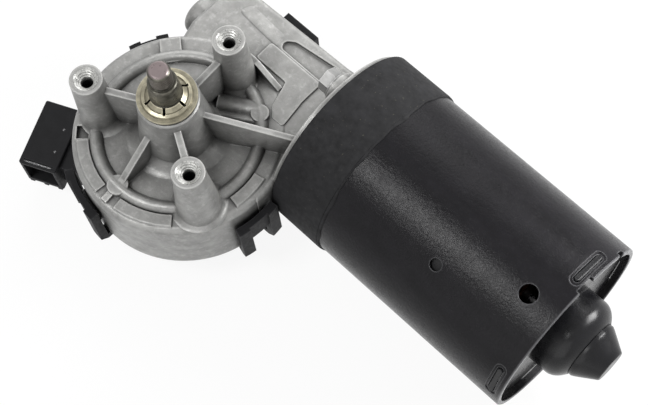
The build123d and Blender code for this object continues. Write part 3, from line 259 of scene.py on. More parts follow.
def direct_view(tree):
    """Socket that is 1 for rays from the camera and for mirrored or transmitted rays."""
    path = tree.nodes.new("ShaderNodeLightPath")
    seen = path.outputs["Is Camera Ray"]
    for ray in ("Is Glossy Ray", "Is Transmission Ray"):
        either = tree.nodes.new("ShaderNodeMath")
        either.operation = "MAXIMUM"
        tree.links.new(seen, either.inputs[0])
        tree.links.new(path.outputs[ray], either.inputs[1])
        seen = either.outputs[0]
    return seen


def lighter(base, gain, offset=0.0):
    """The colour times a gain plus an offset, held at white."""
    return tuple(min(1.0, gain * c + offset) for c in base)


class Finish:
    """A Principled material built up from noise layers on Object coordinates."""

    def __init__(self, name, base, metallic, roughness):
        self.material = bpy.data.materials.new(name)
        self.material.use_nodes = True
        self.tree = self.material.node_tree
        self.shader = self.tree.nodes["Principled BSDF"]
        self.shader.inputs["Base Color"].default_value = (*base, 1.0)
        self.shader.inputs["Metallic"].default_value = metallic
        self.shader.inputs["Roughness"].default_value = roughness
        self.base = base
        self.place = self.tree.nodes.new("ShaderNodeTexCoord").outputs["Object"]
        self.shade = None
        self.normal = None

    def node(self, kind, **settings):
        """New node with its settings."""
        made = self.tree.nodes.new(kind)
        for key, value in settings.items():
            setattr(made, key, value)
        return made

    def link(self, output, socket):
        """Joins two sockets."""
        self.tree.links.new(output, socket)

    def stretched(self, scale):
        """Object coordinates scaled along each axis."""
        mapping = self.node("ShaderNodeMapping")
        mapping.inputs["Scale"].default_value = scale
        self.link(self.place, mapping.inputs["Vector"])
        return mapping.outputs["Vector"]

    def noise(self, size, detail=4.0, rough=0.55, scale=(1.0, 1.0, 1.0)):
        """Noise with features of about size metres."""
        noise = self.node("ShaderNodeTexNoise")
        noise.inputs["Scale"].default_value = 1.0 / size
        noise.inputs["Detail"].default_value = detail
        noise.inputs["Roughness"].default_value = rough
        self.link(self.stretched(scale), noise.inputs["Vector"])
        return noise.outputs["Fac"]

    def bands(self, direction, scale, distortion=0.0):
        """Stripes across a direction."""
        wave = self.node("ShaderNodeTexWave", wave_type="BANDS", bands_direction=direction)
        wave.inputs["Scale"].default_value = scale
        wave.inputs["Distortion"].default_value = distortion
        self.link(self.place, wave.inputs["Vector"])
        return wave.outputs["Fac"]

    def along(self, axis, low, high):
        """0 below low to 1 above high along an axis of the frame."""
        parts = self.node("ShaderNodeSeparateXYZ")
        self.link(self.place, parts.inputs[0])
        return self.spread(parts.outputs[axis], low, high)

    def spread(self, factor, low, high, start=0.0, end=1.0):
        """The factor carried from low..high to start..end and held there."""
        node = self.node("ShaderNodeMapRange")
        node.inputs["From Min"].default_value = low
        node.inputs["From Max"].default_value = high
        node.inputs["To Min"].default_value = start
        node.inputs["To Max"].default_value = end
        self.link(factor, node.inputs["Value"])
        return node.outputs["Result"]

    def tone(self, factor, dark, light):
        """Base colour that runs from dark to light times the base with the factor."""
        ramp = self.node("ShaderNodeValToRGB")
        ramp.color_ramp.elements[0].position = NOISE_LOW
        ramp.color_ramp.elements[1].position = NOISE_HIGH
        ramp.color_ramp.elements[0].color = (*lighter(self.base, dark), 1.0)
        ramp.color_ramp.elements[1].color = (*lighter(self.base, light), 1.0)
        self.link(factor, ramp.inputs["Fac"])
        self.shade = ramp.outputs["Color"]
        self.link(self.shade, self.shader.inputs["Base Color"])

    def paint(self, factor, over, blend="MIX"):
        """Lays another colour over the shade by the factor."""
        mix = self.node("ShaderNodeMix", data_type="RGBA", blend_type=blend)
        mix.inputs[MIX_UNDER].default_value = (*self.base, 1.0)
        mix.inputs[MIX_OVER].default_value = (*over, 1.0)
        if self.shade is not None:
            self.link(self.shade, mix.inputs[MIX_UNDER])
        self.link(factor, mix.inputs[MIX_FACTOR])
        self.shade = mix.outputs[MIX_RESULT]
        self.link(self.shade, self.shader.inputs["Base Color"])

    def painted_shade(self, reach, shade, low=0.35, high=0.95):
        """Paints shade into corners and pockets: darkens what lies there by how closed in it is within reach."""
        open_air = self.node("ShaderNodeAmbientOcclusion", samples=HOLLOW_SAMPLES)
        open_air.inputs["Distance"].default_value = reach
        closed = self.spread(open_air.outputs["AO"], low, high, 1.0, 0.0)
        self.paint(closed, (shade,) * 3, "MULTIPLY")

    def worn_and_lit_edges(self, reach, over, amount, thin=0.55, thick=0.9):
        """Lightens outer edges, partly as wear and partly as a painted highlight, found by how thin the body is
        within reach under them.
        """
        under = self.node(
            "ShaderNodeAmbientOcclusion", samples=HOLLOW_SAMPLES, inside=True, only_local=True
        )
        under.inputs["Distance"].default_value = reach
        self.paint(self.spread(under.outputs["AO"], thin, thick, amount, 0.0), over)

    def gloss(self, factor, low, high):
        """Roughness between low and high with the factor."""
        rough = self.spread(factor, NOISE_LOW, NOISE_HIGH, low, high)
        self.link(rough, self.shader.inputs["Roughness"])

    def mirror(self, level):
        """Strength of the clear reflection on paint, rubber or plastic."""
        self.shader.inputs["Specular IOR Level"].default_value = level

    def round_over(self, radius):
        """Starts the relief from a normal that turns softly over the edges."""
        soft = self.node("ShaderNodeBevel", samples=BEVEL_SAMPLES)
        soft.inputs["Radius"].default_value = radius
        self.normal = soft.outputs["Normal"]
        self.link(self.normal, self.shader.inputs["Normal"])

    def relief(self, factor, depth, strength=1.0):
        """Bump of the factor, depth in metres, laid over the relief before it."""
        bump = self.node("ShaderNodeBump")
        bump.inputs["Strength"].default_value = strength
        bump.inputs["Distance"].default_value = depth
        self.link(factor, bump.inputs["Height"])
        if self.normal is not None:
            self.link(self.normal, bump.inputs["Normal"])
        self.normal = bump.outputs["Normal"]
        self.link(self.normal, self.shader.inputs["Normal"])

    def lift(self, share):
        """Mixes a share of plain white into what the camera and reflections see."""
        glow = self.node("ShaderNodeEmission")
        amount = self.node("ShaderNodeMath", operation="MULTIPLY")
        amount.inputs[1].default_value = share
        self.link(direct_view(self.tree), amount.inputs[0])
        mix = self.node("ShaderNodeMixShader")
        self.link(amount.outputs[0], mix.inputs["Fac"])
        self.link(self.shader.outputs["BSDF"], mix.inputs[1])
        self.link(glow.outputs["Emission"], mix.inputs[2])
        self.link(mix.outputs["Shader"], self.tree.nodes["Material Output"].inputs["Surface"])


def casting_finish(colours, sizes):
    """Die-cast skin: fine grain, flow marks a few millimetres wide, edges lightened partly as
    wear and partly as a painted highlight, and painted shade in the pockets."""
    finish = Finish("cast_aluminium_skin", colours.casting, metallic=0.4, roughness=0.42)
    pale = lighter(colours.casting, 2.0)
    finish.tone(finish.noise(7 * MM, detail=5.0, rough=0.62), dark=0.78, light=1.22)
    flow = finish.noise(2.2 * MM, detail=3.0, rough=0.6)
    finish.paint(finish.spread(flow, 0.54, 0.7, 0.0, 0.28), pale)
    # Painted shade: darker deep in the drum and its pockets, and in the small corners
    finish.painted_shade(reach=12 * MM, shade=0.27, low=0.35, high=0.97)
    finish.painted_shade(reach=2.5 * MM, shade=0.55, low=0.25, high=0.8)
    # Edges lightened partly as wear and partly as a painted highlight
    finish.worn_and_lit_edges(reach=0.9 * MM, over=pale, amount=0.75)
    finish.gloss(finish.noise(2.5 * MM, detail=5.0), low=0.30, high=0.50)
    finish.round_over(0.7 * MM)
    grain = finish.noise(sizes.casting_grain, detail=5.0, rough=0.75)
    finish.relief(grain, depth=0.14 * MM, strength=0.6)
    finish.relief(finish.noise(6 * MM, detail=3.0), depth=0.35 * MM, strength=0.35)
    return finish.material


def tapped_finish(colours):
    """Freshly cut thread with painted shade in its grooves, so the crests stand bright, and painted shade
    darkening deep in the bore.
    """
    finish = Finish("tapped_aluminium", colours.tapped, metallic=0.6, roughness=0.3)
    finish.tone(finish.noise(0.8 * MM), dark=0.7, light=1.35)
    # Painted shade in the grooves of the thread
    finish.painted_shade(reach=1.2 * MM, shade=0.25, low=0.3, high=0.9)
    # Painted shade darkening down the bore
    finish.paint(finish.along(Z_AXIS, BORE_SHADE_START_Z, BORE_SHADE_FULL_Z), BORE_SHADE)
    finish.gloss(finish.noise(0.6 * MM), low=0.22, high=0.4)
    finish.relief(finish.noise(0.3 * MM, detail=3.0), depth=0.03 * MM, strength=0.4)
    return finish.material


def can_finish(colours, sizes):
    """Black paint with a mottled, slightly rippled sheen drawn out along the can, rubbed off
    the rim at its far end, and its edges lightened partly as rubbed paint and partly as a
    painted highlight."""
    finish = Finish("can_black_paint", colours.can_paint, metallic=0.0, roughness=0.28)
    mottle = finish.noise(7 * MM, detail=6.0, rough=0.65, scale=(0.45, 1.0, 1.0))
    finish.tone(mottle, dark=0.75, light=1.45)
    # Edges lightened partly as rubbed paint and partly as a painted highlight
    finish.worn_and_lit_edges(reach=0.5 * MM, over=EDGE_WEAR_AND_HIGHLIGHT, amount=0.8)
    finish.paint(finish.along(X_AXIS, CAN_RIM_START_X, CAN_RIM_FULL_X), BARE_RIM)
    finish.gloss(finish.noise(3 * MM, detail=8.0, rough=0.75), low=0.13, high=0.34)
    finish.mirror(0.14)
    finish.round_over(0.5 * MM)
    ripple = finish.noise(sizes.paint_ripple, detail=4.0, rough=0.6)
    finish.relief(ripple, depth=0.12 * MM, strength=0.4)
    peel = finish.noise(1.1 * MM, detail=4.0, rough=0.75)
    finish.relief(peel, depth=0.16 * MM, strength=0.75)
    return finish.material


def gloss_finish(colours):
    """Smooth black of the end plate and its cap."""
    finish = Finish("end_gloss_paint", colours.gloss_paint, metallic=0.0, roughness=0.2)
    finish.tone(finish.noise(5 * MM, detail=5.0), dark=0.8, light=1.3)
    finish.gloss(finish.noise(4 * MM), low=0.20, high=0.34)
    finish.mirror(0.26)
    finish.round_over(0.8 * MM)
    finish.relief(finish.noise(2.5 * MM, detail=3.0), depth=0.06 * MM, strength=0.35)
    return finish.material


def band_finish(colours):
    """Matte rubber with a dusty bloom, a few pale specks and painted shade in its corners."""
    finish = Finish("band_rubber", colours.band, metallic=0.0, roughness=0.72)
    finish.tone(finish.noise(5 * MM, detail=5.0, rough=0.6), dark=0.8, light=1.9)
    specks = finish.noise(0.9 * MM, detail=2.0)
    finish.paint(finish.spread(specks, 0.69, 0.74, 0.0, 0.6), DUST)
    # Painted shade in corners and pockets
    finish.painted_shade(reach=6 * MM, shade=0.4)
    finish.gloss(finish.noise(2 * MM), low=0.62, high=0.82)
    finish.mirror(0.2)
    finish.round_over(0.6 * MM)
    finish.relief(finish.noise(0.35 * MM), depth=0.05 * MM, strength=0.5)
    return finish.material


def plastic_finish(name, base, low, high, level=0.3):
    """Moulded plastic with a fine spark texture and edges painted a little pale as a highlight,
    its roughness between low and high."""
    finish = Finish(name, base, metallic=0.0, roughness=low)
    finish.tone(finish.noise(4 * MM), dark=0.85, light=1.25)
    # Painted highlight: edges lightened
    finish.worn_and_lit_edges(reach=0.4 * MM, over=lighter(base, 3.0, 0.02), amount=0.7)
    finish.gloss(finish.noise(1.5 * MM), low, high)
    finish.mirror(level)
    finish.round_over(0.35 * MM)
    spark = finish.noise(1.2 * MM, detail=5.0, rough=0.7)
    finish.relief(spark, depth=0.09 * MM, strength=0.5)
    finish.relief(finish.noise(0.4 * MM, detail=3.0), depth=0.03 * MM, strength=0.4)
    return finish.material


def metal_finish(name, base, roughness, clouds=0.12, metallic=0.8):
    """Bare or plated metal with a fine grain, its tone clouded by that share."""
    finish = Finish(name, base, metallic, roughness)
    cloud = finish.noise(2.2 * MM, detail=5.0, rough=0.6)
    finish.tone(cloud, dark=1.0 - clouds, light=1.0 + clouds)
    # Painted shade in corners and pockets
    finish.painted_shade(reach=3 * MM, shade=0.35)
    # Edges lightened partly as wear and partly as a painted highlight
    finish.worn_and_lit_edges(reach=0.35 * MM, over=lighter(base, 1.8), amount=0.7)
    finish.gloss(finish.noise(1.2 * MM), roughness * 0.8, roughness * 1.25)
    finish.round_over(0.15 * MM)
    grain = finish.noise(0.25 * MM, detail=3.0, rough=0.6)
    finish.relief(grain, depth=0.02 * MM, strength=0.35)
    return finish.material


def shaft_finish(colours):
    """Oiled steel with turned lines, and a dull end face."""
    finish = Finish("oiled_shaft", colours.shaft, metallic=0.6, roughness=0.32)
    film = finish.noise(3 * MM, detail=5.0, rough=0.6, scale=(1.0, 1.0, 2.5))
    finish.tone(film, dark=0.6, light=1.9)
    # Painted shade in corners, such as where the shaft meets the washer
    finish.painted_shade(reach=4 * MM, shade=0.35)
    face = finish.along(Z_AXIS, SHAFT_FACE_START_Z, SHAFT_FACE_FULL_Z)
    finish.paint(face, colours.shaft_end)
    finish.gloss(finish.noise(1.5 * MM), low=0.24, high=0.42)
    finish.round_over(0.5 * MM)
    turned = finish.noise(0.5 * MM, detail=3.0, rough=0.6, scale=(0.1, 0.1, 1.0))
    finish.relief(turned, depth=0.04 * MM, strength=0.5)
    return finish.material


def winding_finish(colours):
    """Enamelled wire: fine turns that run across the ends of the core."""
    finish = Finish("winding_varnish", colours.wire, metallic=0.5, roughness=0.4)
    turns = finish.bands("DIAGONAL", scale=900.0, distortion=1.5)
    finish.relief(turns, depth=0.25 * MM, strength=0.8)
    finish.tone(finish.noise(2 * MM), dark=0.8, light=1.2)
    return finish.material


def core_finish(colours):
    """Stacked laminations seen as fine rings along the motor axis."""
    finish = Finish("core_laminations", colours.laminations, metallic=0.8, roughness=0.45)
    finish.relief(finish.bands("X", scale=320.0), depth=0.12 * MM, strength=0.7)
    finish.tone(finish.noise(5 * MM), dark=0.8, light=1.15)
    return finish.material


def dress(material, *nodes):
    """Puts a material on every slot of the named CAD nodes."""
    for name in nodes:
        piece = frame["nodes"][name]
        if not piece.material_slots:
            piece.data.materials.append(material)
        for held in piece.material_slots:
            held.material = material


# Surfaces: grids of points in metres, with t along the first axis and s along the second


def surface(name, points, material, body, wrap=False):
    """Mesh of a grid of points: points[t, s] is joined to its neighbours in quads, and
    where the grid wraps, its last row meets its first."""
    rows, columns = points.shape[:2]
    index = np.arange(rows * columns).reshape(rows, columns)
    if wrap:
        index = np.vstack([index, index[:1]])
    quads = np.stack(
        [index[:-1, :-1], index[1:, :-1], index[1:, 1:], index[:-1, 1:]], axis=-1
    ).reshape(-1, 4)
    mesh = bpy.data.meshes.new(name)
    mesh.from_pydata(points.reshape(-1, 3).tolist(), [], quads.tolist())
    mesh.validate()
    mesh.polygons.foreach_set("use_smooth", np.ones(len(mesh.polygons), dtype=bool))
    mesh.materials.append(material)
    piece = bpy.data.objects.new(name, mesh)
    bpy.context.scene.collection.objects.link(piece)
    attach(piece, body)
    return piece


def full_turn(steps):
    """Angles of one turn as a column, without the last, which meets the first."""
    return np.linspace(0.0, 2 * math.pi, steps, endpoint=False)[:, None]


def turned(centre, t, r, z):
    """Points at the radius r and height z, turned by the angle t about a centre."""
    return np.stack([centre[0] + r * np.cos(t), centre[1] + r * np.sin(t), z + 0 * t], axis=-1)


def boss_centre(angle):
    """Centre of the mounting boss at an angle in degrees."""
    return (
        BOSS_CIRCLE * math.cos(math.radians(angle)),
        BOSS_CIRCLE * math.sin(math.radians(angle)),
    )


def helical_ridge(centre, radius, height, pitch, start, end, steps=40, columns=9):
    """Points of a thread ridge about +Z: the angle t runs round, the ridge climbs
    pitch * t / 2 pi, and across it a half cosine wave of the given height stands on the
    radius, fading to nothing over a quarter turn at both ends of the run."""
    turns = (end - start) / pitch
    t = np.linspace(0.0, 2 * math.pi * turns, int(turns * steps))[:, None]
    s = np.linspace(-1.0, 1.0, columns)[None, :]
    fade = np.clip(np.minimum(t, t[-1] - t) / (math.pi / 2), 0.0, 1.0)
    r = radius + height * fade * np.cos(s * math.pi / 2)
    z = start + pitch * t / (2 * math.pi) + s * RIDGE_SHARE * pitch / 2
    return turned(centre, t, r, np.clip(z, start, end))


def cut_mouth(centre, steps=96, columns=49):
    """Points of a countersink with thread cuts left in it: a cone runs from the mouth's
    radius at the face to the drill's radius at the mouth's depth, and a rounded sawtooth
    that climbs one pitch a turn is laid along it, fading in over the first quarter."""
    t = full_turn(steps)
    s = np.linspace(0.0, 1.0, columns)[None, :]
    depth = MOUTH_DEPTH * s
    cone = MOUTH_RADIUS - (MOUTH_RADIUS - DRILL_RADIUS) * s
    phase = (depth / MOUTH_CUT_PITCH + t / (2 * math.pi)) % 1.0
    sawtooth = (1.0 - np.abs(2.0 * phase - 1.0)) ** MOUTH_CUT_ROUNDING
    cut = MOUTH_CUT * sawtooth * np.clip(4.0 * s, 0.0, 1.0)
    return turned(centre, t, cone - MOUTH_STAND_OFF - cut, -MOUTH_START - depth)


def swept_foot(centre, radius, reach, height, t, columns):
    """Points of the swept foot of a round tower: a quarter of a hollow ellipse turned by
    the angle t, from the face at that reach up to the tower's side at that height."""
    s = np.linspace(0.0, math.pi / 2, columns)[None, :]
    r = radius + reach * (1.0 - np.sin(s))
    z = DRUM_FACE_Z - ROOT + height * (1.0 - np.cos(s))
    return turned(centre, t, r, z)


def tower_foot(steps=120, columns=17):
    """Points of the foot of the shaft tower: its reach is a constant plus a sine wave of
    a few lobes a turn, as on a fettled casting."""
    t = full_turn(steps)
    reach = TOWER_FOOT_REACH + TOWER_FOOT_SWELL * np.sin(TOWER_FOOT_LOBES * t)
    return swept_foot((0.0, 0.0), TOWER_RADIUS, reach, TOWER_FOOT_HEIGHT, t, columns)


def boss_foot(angle, outer, height, steps=72, columns=13):
    """Points of the foot of the mounting boss at an angle in degrees: its reach goes by a
    cosine from outer, away from the shaft, to the inner reach on the side of the shaft."""
    t = full_turn(steps)
    inward = (1.0 - np.cos(t - math.radians(angle))) / 2
    reach = outer + (BOSS_FOOT_INNER_REACH - outer) * inward
    return swept_foot(boss_centre(angle), BOSS_RADIUS, reach, height, t, columns)


def band_lip(steps=360, columns=9):
    """Points of a rubber lip about the motor axis: a quarter ellipse from the top of the
    band's back edge down to the can, its width a constant plus a few sine waves."""
    t = full_turn(steps)
    s = np.linspace(0.0, math.pi / 2, columns)[None, :]
    width = LIP_WIDTH + sum(size * np.sin(count * t + phase) for size, count, phase in LIP_WAVES)
    x = BAND_EDGE_X - LIP_INSET + width * np.sin(s)
    r = CAN_RADIUS + LIP_CLEARANCE + LIP_HEIGHT * np.cos(s)
    return np.stack([x, MOTOR_Y + r * np.cos(t), MOTOR_Z + r * np.sin(t)], axis=-1)


def low_bead(start, end, base, right, left, height, steps=48, columns=17):
    """Points of a straight bead from start to end at the height base: half a cosine wave
    that reaches right and left of the line by its two widths, and both its height and
    widths run out over the first and last tenth."""
    a, b = np.array((*start, base)), np.array((*end, base))
    upward = np.array((0.0, 0.0, 1.0))
    across = np.cross((b - a) / np.linalg.norm(b - a), upward)
    t = np.linspace(0.0, 1.0, steps)[:, None, None]
    s = np.linspace(1.0, -1.0, columns)[None, :, None]
    width = np.where(s > 0.0, right, left)
    fade = np.sqrt(np.clip(10.0 * np.minimum(t, 1.0 - t), 0.0, 1.0))
    rise = height * fade * np.cos(s * math.pi / 2) * upward
    return a + (b - a) * t + across * width * s * fade + rise


def round_mark(centre, base, radius, height, steps=32, columns=9):
    """Points of a low dome at the height base: a parabola over the radius, turned about
    +Z."""
    s = np.linspace(1.0, 0.0, columns)[None, :]
    return turned(centre, full_turn(steps), radius * s, base + height * (1.0 - s**2))


# Operators


class WIPERMOTOR_OT_housing(bpy.types.Operator):
    """Dress the die-cast gear housing and add its soft feet and crease"""

    bl_idname = "wipermotor.housing"
    bl_label = "Gear housing"

    def execute(self, context):
        colours = context.scene.wiper_motor_colours
        sizes = context.scene.wiper_motor_sizes
        skin = casting_finish(colours, sizes)
        dress(skin, "gear_housing")
        surface("tower_foot", tower_foot(), skin, "housing", wrap=True)
        for number, (angle, foot) in enumerate(zip(BOSS_ANGLES, BOSS_FEET), start=1):
            points = boss_foot(angle, *foot)
            surface(f"boss_foot_{number}", points, skin, "housing", wrap=True)
        crease = low_bead(
            CREASE_START, CREASE_END, TUNNEL_TOP_Z - ROOT,
            CREASE_STEEP, CREASE_GENTLE, CREASE_HEIGHT,
        )
        surface("tunnel_crease", crease, skin, "housing")
        return {"FINISHED"}


class WIPERMOTOR_OT_motor(bpy.types.Operator):
    """Dress the can, its end and the sealing band"""

    bl_idname = "wipermotor.motor"
    bl_label = "Motor can and band"

    def execute(self, context):
        colours = context.scene.wiper_motor_colours
        sizes = context.scene.wiper_motor_sizes
        dress(can_finish(colours, sizes), "motor_can")
        dress(gloss_finish(colours), "end_plate", "bearing_cap")
        dress(band_finish(colours), "sealing_band")
        return {"FINISHED"}


class WIPERMOTOR_OT_band_lip(bpy.types.Operator):
    """Add the soft lip where the sealing band lies down on the can"""

    bl_idname = "wipermotor.band_lip"
    bl_label = "Band lip"

    def execute(self, context):
        skin = band_finish(context.scene.wiper_motor_colours)
        surface("band_lip", band_lip(), skin, "housing", wrap=True)
        return {"FINISHED"}


class WIPERMOTOR_OT_plastics(bpy.types.Operator):
    """Dress the cover, its clips, the gasket and the connector"""

    bl_idname = "wipermotor.plastics"
    bl_label = "Cover and connector"

    def execute(self, context):
        colours = context.scene.wiper_motor_colours
        black = plastic_finish("moulded_black", colours.plastic, 0.42, 0.6, level=0.11)
        rubber = plastic_finish("seal_rubber_skin", colours.band, 0.6, 0.75, level=0.2)
        dress(black, "gear_cover", "connector_housing", "upper_thrust_washer")
        dress(rubber, "cover_gasket", "shaft_seal_ring")
        return {"FINISHED"}


class WIPERMOTOR_OT_connector_marks(bpy.types.Operator):
    """Add the rib at the mouth of the connector and the moulding marks on its top"""

    bl_idname = "wipermotor.connector_marks"
    bl_label = "Connector marks"

    def execute(self, context):
        colours = context.scene.wiper_motor_colours
        skin = plastic_finish("polished_black", colours.polished, 0.14, 0.24, level=0.8)
        rib = low_bead(
            RIB_START, RIB_END, CONNECTOR_TOP_Z, RIB_HALF_WIDTH, RIB_HALF_WIDTH, RIB_HEIGHT
        )
        surface("connector_mouth_rib", rib, skin, "housing")
        for number, place in enumerate(MARK_PLACES, start=1):
            mark = round_mark(place, CONNECTOR_TOP_Z, MARK_RADIUS, MARK_HEIGHT)
            name = f"connector_mark_{number}"
            surface(name, mark, skin, "housing", wrap=True)
        return {"FINISHED"}


class WIPERMOTOR_OT_output(bpy.types.Operator):
    """Dress the output shaft, its star washer and the screws"""

    bl_idname = "wipermotor.output"
    bl_label = "Output shaft and washer"

    def execute(self, context):
        colours = context.scene.wiper_motor_colours
        zinc = metal_finish("yellow_zinc", colours.zinc, 0.36, clouds=0.3, metallic=0.7)
        screw = metal_finish("screw_zinc", colours.screw, 0.45, metallic=0.45)
        dress(shaft_finish(colours), "output_shaft")
        dress(zinc, "retainer_washer")
        dress(screw, "flange_screws")
        return {"FINISHED"}


class WIPERMOTOR_OT_shaft_thread(bpy.types.Operator):
    """Add the thread on the tip of the output shaft"""

    bl_idname = "wipermotor.shaft_thread"
    bl_label = "Shaft thread"

    def execute(self, context):
        pitch = context.scene.wiper_motor_sizes.shaft_thread_pitch
        end = SHAFT_END_Z - TIP_CHAMFER
        start = end - TIP_THREAD_LENGTH
        ridge = helical_ridge(
            (0.0, 0.0), TIP_THREAD_RADIUS, TIP_THREAD_HEIGHT, pitch, start, end
        )
        skin = metal_finish("thread_steel", context.scene.wiper_motor_colours.thread, 0.34)
        surface("shaft_thread_ridge", ridge, skin, "output")
        return {"FINISHED"}


class WIPERMOTOR_OT_boss_threads(bpy.types.Operator):
    """Add the cut threads in the mounting bosses and in their countersunk mouths"""

    bl_idname = "wipermotor.boss_threads"
    bl_label = "Boss threads"

    def execute(self, context):
        pitch = context.scene.wiper_motor_sizes.boss_thread_pitch
        skin = tapped_finish(context.scene.wiper_motor_colours)
        for number, angle in enumerate(BOSS_ANGLES, start=1):
            centre = boss_centre(angle)
            # The ridge stands inwards, so its columns are reversed to face the axis
            ridge = helical_ridge(
                centre, BORE_THREAD_RADIUS, -BORE_THREAD_HEIGHT, pitch,
                BORE_THREAD_BOTTOM, BORE_THREAD_TOP,
            )[:, ::-1]
            surface(f"boss_thread_{number}", ridge, skin, "housing")
            mouth = cut_mouth(centre)
            surface(f"boss_mouth_{number}", mouth, skin, "housing", wrap=True)
        return {"FINISHED"}


class WIPERMOTOR_OT_drive(bpy.types.Operator):
    """Dress the worm drive, the armature and the brush gear"""

    bl_idname = "wipermotor.drive"
    bl_label = "Drive and armature"

    def execute(self, context):
        colours = context.scene.wiper_motor_colours
        steel = metal_finish("ground_steel", colours.steel, 0.28)
        brass = metal_finish("contact_brass_skin", colours.brass, 0.3)
        bronze = metal_finish("sintered_bronze", colours.bronze, 0.5, clouds=0.3)
        ferrite = plastic_finish("ferrite", colours.ferrite, 0.55, 0.7, level=0.2)
        dress(steel, "armature_shaft", "wheel_insert", "lower_thrust_washer")
        dress(steel, "thrust_ball", "mid_bearing", "brush_springs")
        dress(plastic_finish("natural_nylon", colours.nylon, 0.38, 0.5), "worm_wheel")
        dress(brass, "park_contact_disc", "park_contacts", "connector_terminals")
        dress(bronze, "upper_shaft_bush", "lower_shaft_bush", "worm_end_bush", "end_bush")
        dress(metal_finish("commutator_copper", colours.copper, 0.3), "commutator")
        dress(winding_finish(colours), "armature_windings")
        dress(core_finish(colours), "armature_core", "chokes")
        dress(ferrite, "magnets", "brushes")
        dress(plastic_finish("phenolic_card", colours.card, 0.45, 0.6), "brush_plate")
        return {"FINISHED"}


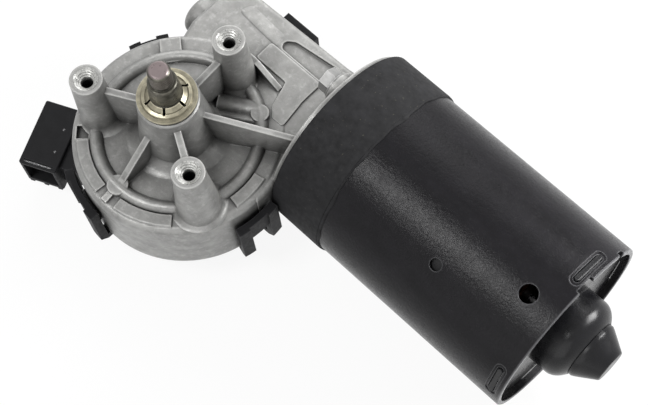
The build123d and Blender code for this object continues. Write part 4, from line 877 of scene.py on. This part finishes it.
class WIPERMOTOR_OT_stage(bpy.types.Operator):
    """Set up the floor, the studio light and the camera"""

    bl_idname = "wipermotor.stage"
    bl_label = "Stage"

    def execute(self, context):
        scene = context.scene
        self.floor(scene)
        self.sky(scene)
        self.lamp(scene, "key_lamp", KEY_PLACE, LAMP_AIM, KEY_SIZE, KEY_POWER)
        self.lamp(scene, "fill_lamp", FILL_PLACE, LAMP_AIM, FILL_SIZE, FILL_POWER)
        self.lamp(scene, "back_lamp", BACK_PLACE, LAMP_AIM, BACK_SIZE, BACK_POWER)
        self.lamp(scene, "rim_lamp", RIM_PLACE, RIM_AIM, RIM_SIZE, RIM_POWER)
        self.camera(scene)
        scene.view_settings.view_transform = "Standard"
        return {"FINISHED"}

    def floor(self, scene):
        """White paper square just under the part."""
        half = FLOOR_HALF
        low = CAD_LOW[2] - FLOOR_GAP
        corners = [(-half, -half, low), (half, -half, low), (half, half, low), (-half, half, low)]
        mesh = bpy.data.meshes.new("floor")
        mesh.from_pydata(corners, [], [(0, 1, 2, 3)])
        paper = Finish("floor_paper", FLOOR_PAPER, metallic=0.0, roughness=0.9)
        paper.tone(paper.noise(30 * MM), dark=0.995, light=1.005)
        paper.mirror(0.1)
        paper.lift(FLOOR_GLOW)
        mesh.materials.append(paper.material)
        piece = bpy.data.objects.new("floor", mesh)
        scene.collection.objects.link(piece)

    def sky(self, scene):
        """White to the camera and in reflections, softer in the light that it gives."""
        world = bpy.data.worlds.new("studio")
        scene.world = world
        world.use_nodes = True
        tree = world.node_tree
        light = tree.nodes["Background"]
        light.inputs["Color"].default_value = (1.0, 1.0, 1.0, 1.0)
        light.inputs["Strength"].default_value = WORLD_LIGHT
        white = tree.nodes.new("ShaderNodeBackground")
        white.inputs["Color"].default_value = (1.0, 1.0, 1.0, 1.0)
        white.inputs["Strength"].default_value = 1.0
        mix = tree.nodes.new("ShaderNodeMixShader")
        tree.links.new(direct_view(tree), mix.inputs["Fac"])
        tree.links.new(light.outputs[0], mix.inputs[1])
        tree.links.new(white.outputs[0], mix.inputs[2])
        tree.links.new(mix.outputs[0], tree.nodes["World Output"].inputs["Surface"])

    def lamp(self, scene, name, place, aim, size, power):
        """Square area lamp at a place, turned to its aim and hidden from the camera."""
        light = bpy.data.lights.new(name, "AREA")
        light.shape = "SQUARE"
        light.size = size
        light.energy = power
        away = Vector(place) - Vector(aim)
        turn = away.to_track_quat("Z", "Y").to_matrix().to_4x4()
        holder = bpy.data.objects.new(name, light)
        holder.matrix_world = Matrix.Translation(place) @ turn
        holder.visible_camera = False
        scene.collection.objects.link(holder)

    def camera(self, scene):
        """Long lens that looks down on the gearbox, with the can running off to the right."""
        lens = bpy.data.cameras.new("camera")
        lens.lens = CAMERA_LENS
        lens.sensor_width = CAMERA_SENSOR
        lens.clip_start = CAMERA_NEAR
        turn = Matrix((CAMERA_RIGHT, CAMERA_UP, CAMERA_BACK)).transposed().to_4x4()
        holder = bpy.data.objects.new("camera", lens)
        holder.matrix_world = Matrix.Translation(CAMERA_PLACE) @ turn
        scene.collection.objects.link(holder)
        scene.camera = holder


OPERATORS = (
    WIPERMOTOR_OT_housing,
    WIPERMOTOR_OT_motor,
    WIPERMOTOR_OT_band_lip,
    WIPERMOTOR_OT_plastics,
    WIPERMOTOR_OT_connector_marks,
    WIPERMOTOR_OT_output,
    WIPERMOTOR_OT_shaft_thread,
    WIPERMOTOR_OT_boss_threads,
    WIPERMOTOR_OT_drive,
    WIPERMOTOR_OT_stage,
)


class WIPERMOTOR_PT_panel(bpy.types.Panel):
    """Colours, sizes and steps of the wiper motor"""

    bl_idname = "WIPERMOTOR_PT_panel"
    bl_label = "Wiper motor"
    bl_space_type = "VIEW_3D"
    bl_region_type = "UI"
    bl_category = "Wiper motor"

    def draw(self, context):
        column = self.layout.column(align=True)
        for group in (context.scene.wiper_motor_colours, context.scene.wiper_motor_sizes):
            for key in group.bl_rna.properties.keys():
                if key not in {"rna_type", "name"}:
                    column.prop(group, key)
        for operator in OPERATORS:
            column.operator(operator.bl_idname)


CLASSES = (WiperMotorColours, WiperMotorSizes, *OPERATORS, WIPERMOTOR_PT_panel)


def register():
    for each in CLASSES:
        bpy.utils.register_class(each)
    bpy.types.Scene.wiper_motor_colours = PointerProperty(type=WiperMotorColours)
    bpy.types.Scene.wiper_motor_sizes = PointerProperty(type=WiperMotorSizes)


def unregister():
    del bpy.types.Scene.wiper_motor_sizes
    del bpy.types.Scene.wiper_motor_colours
    for each in reversed(CLASSES):
        bpy.utils.unregister_class(each)


def main():
    register()
    for operator in OPERATORS:
        group, step = operator.bl_idname.split(".")
        getattr(getattr(bpy.ops, group), step)()


if __name__ == "__main__":
    main()
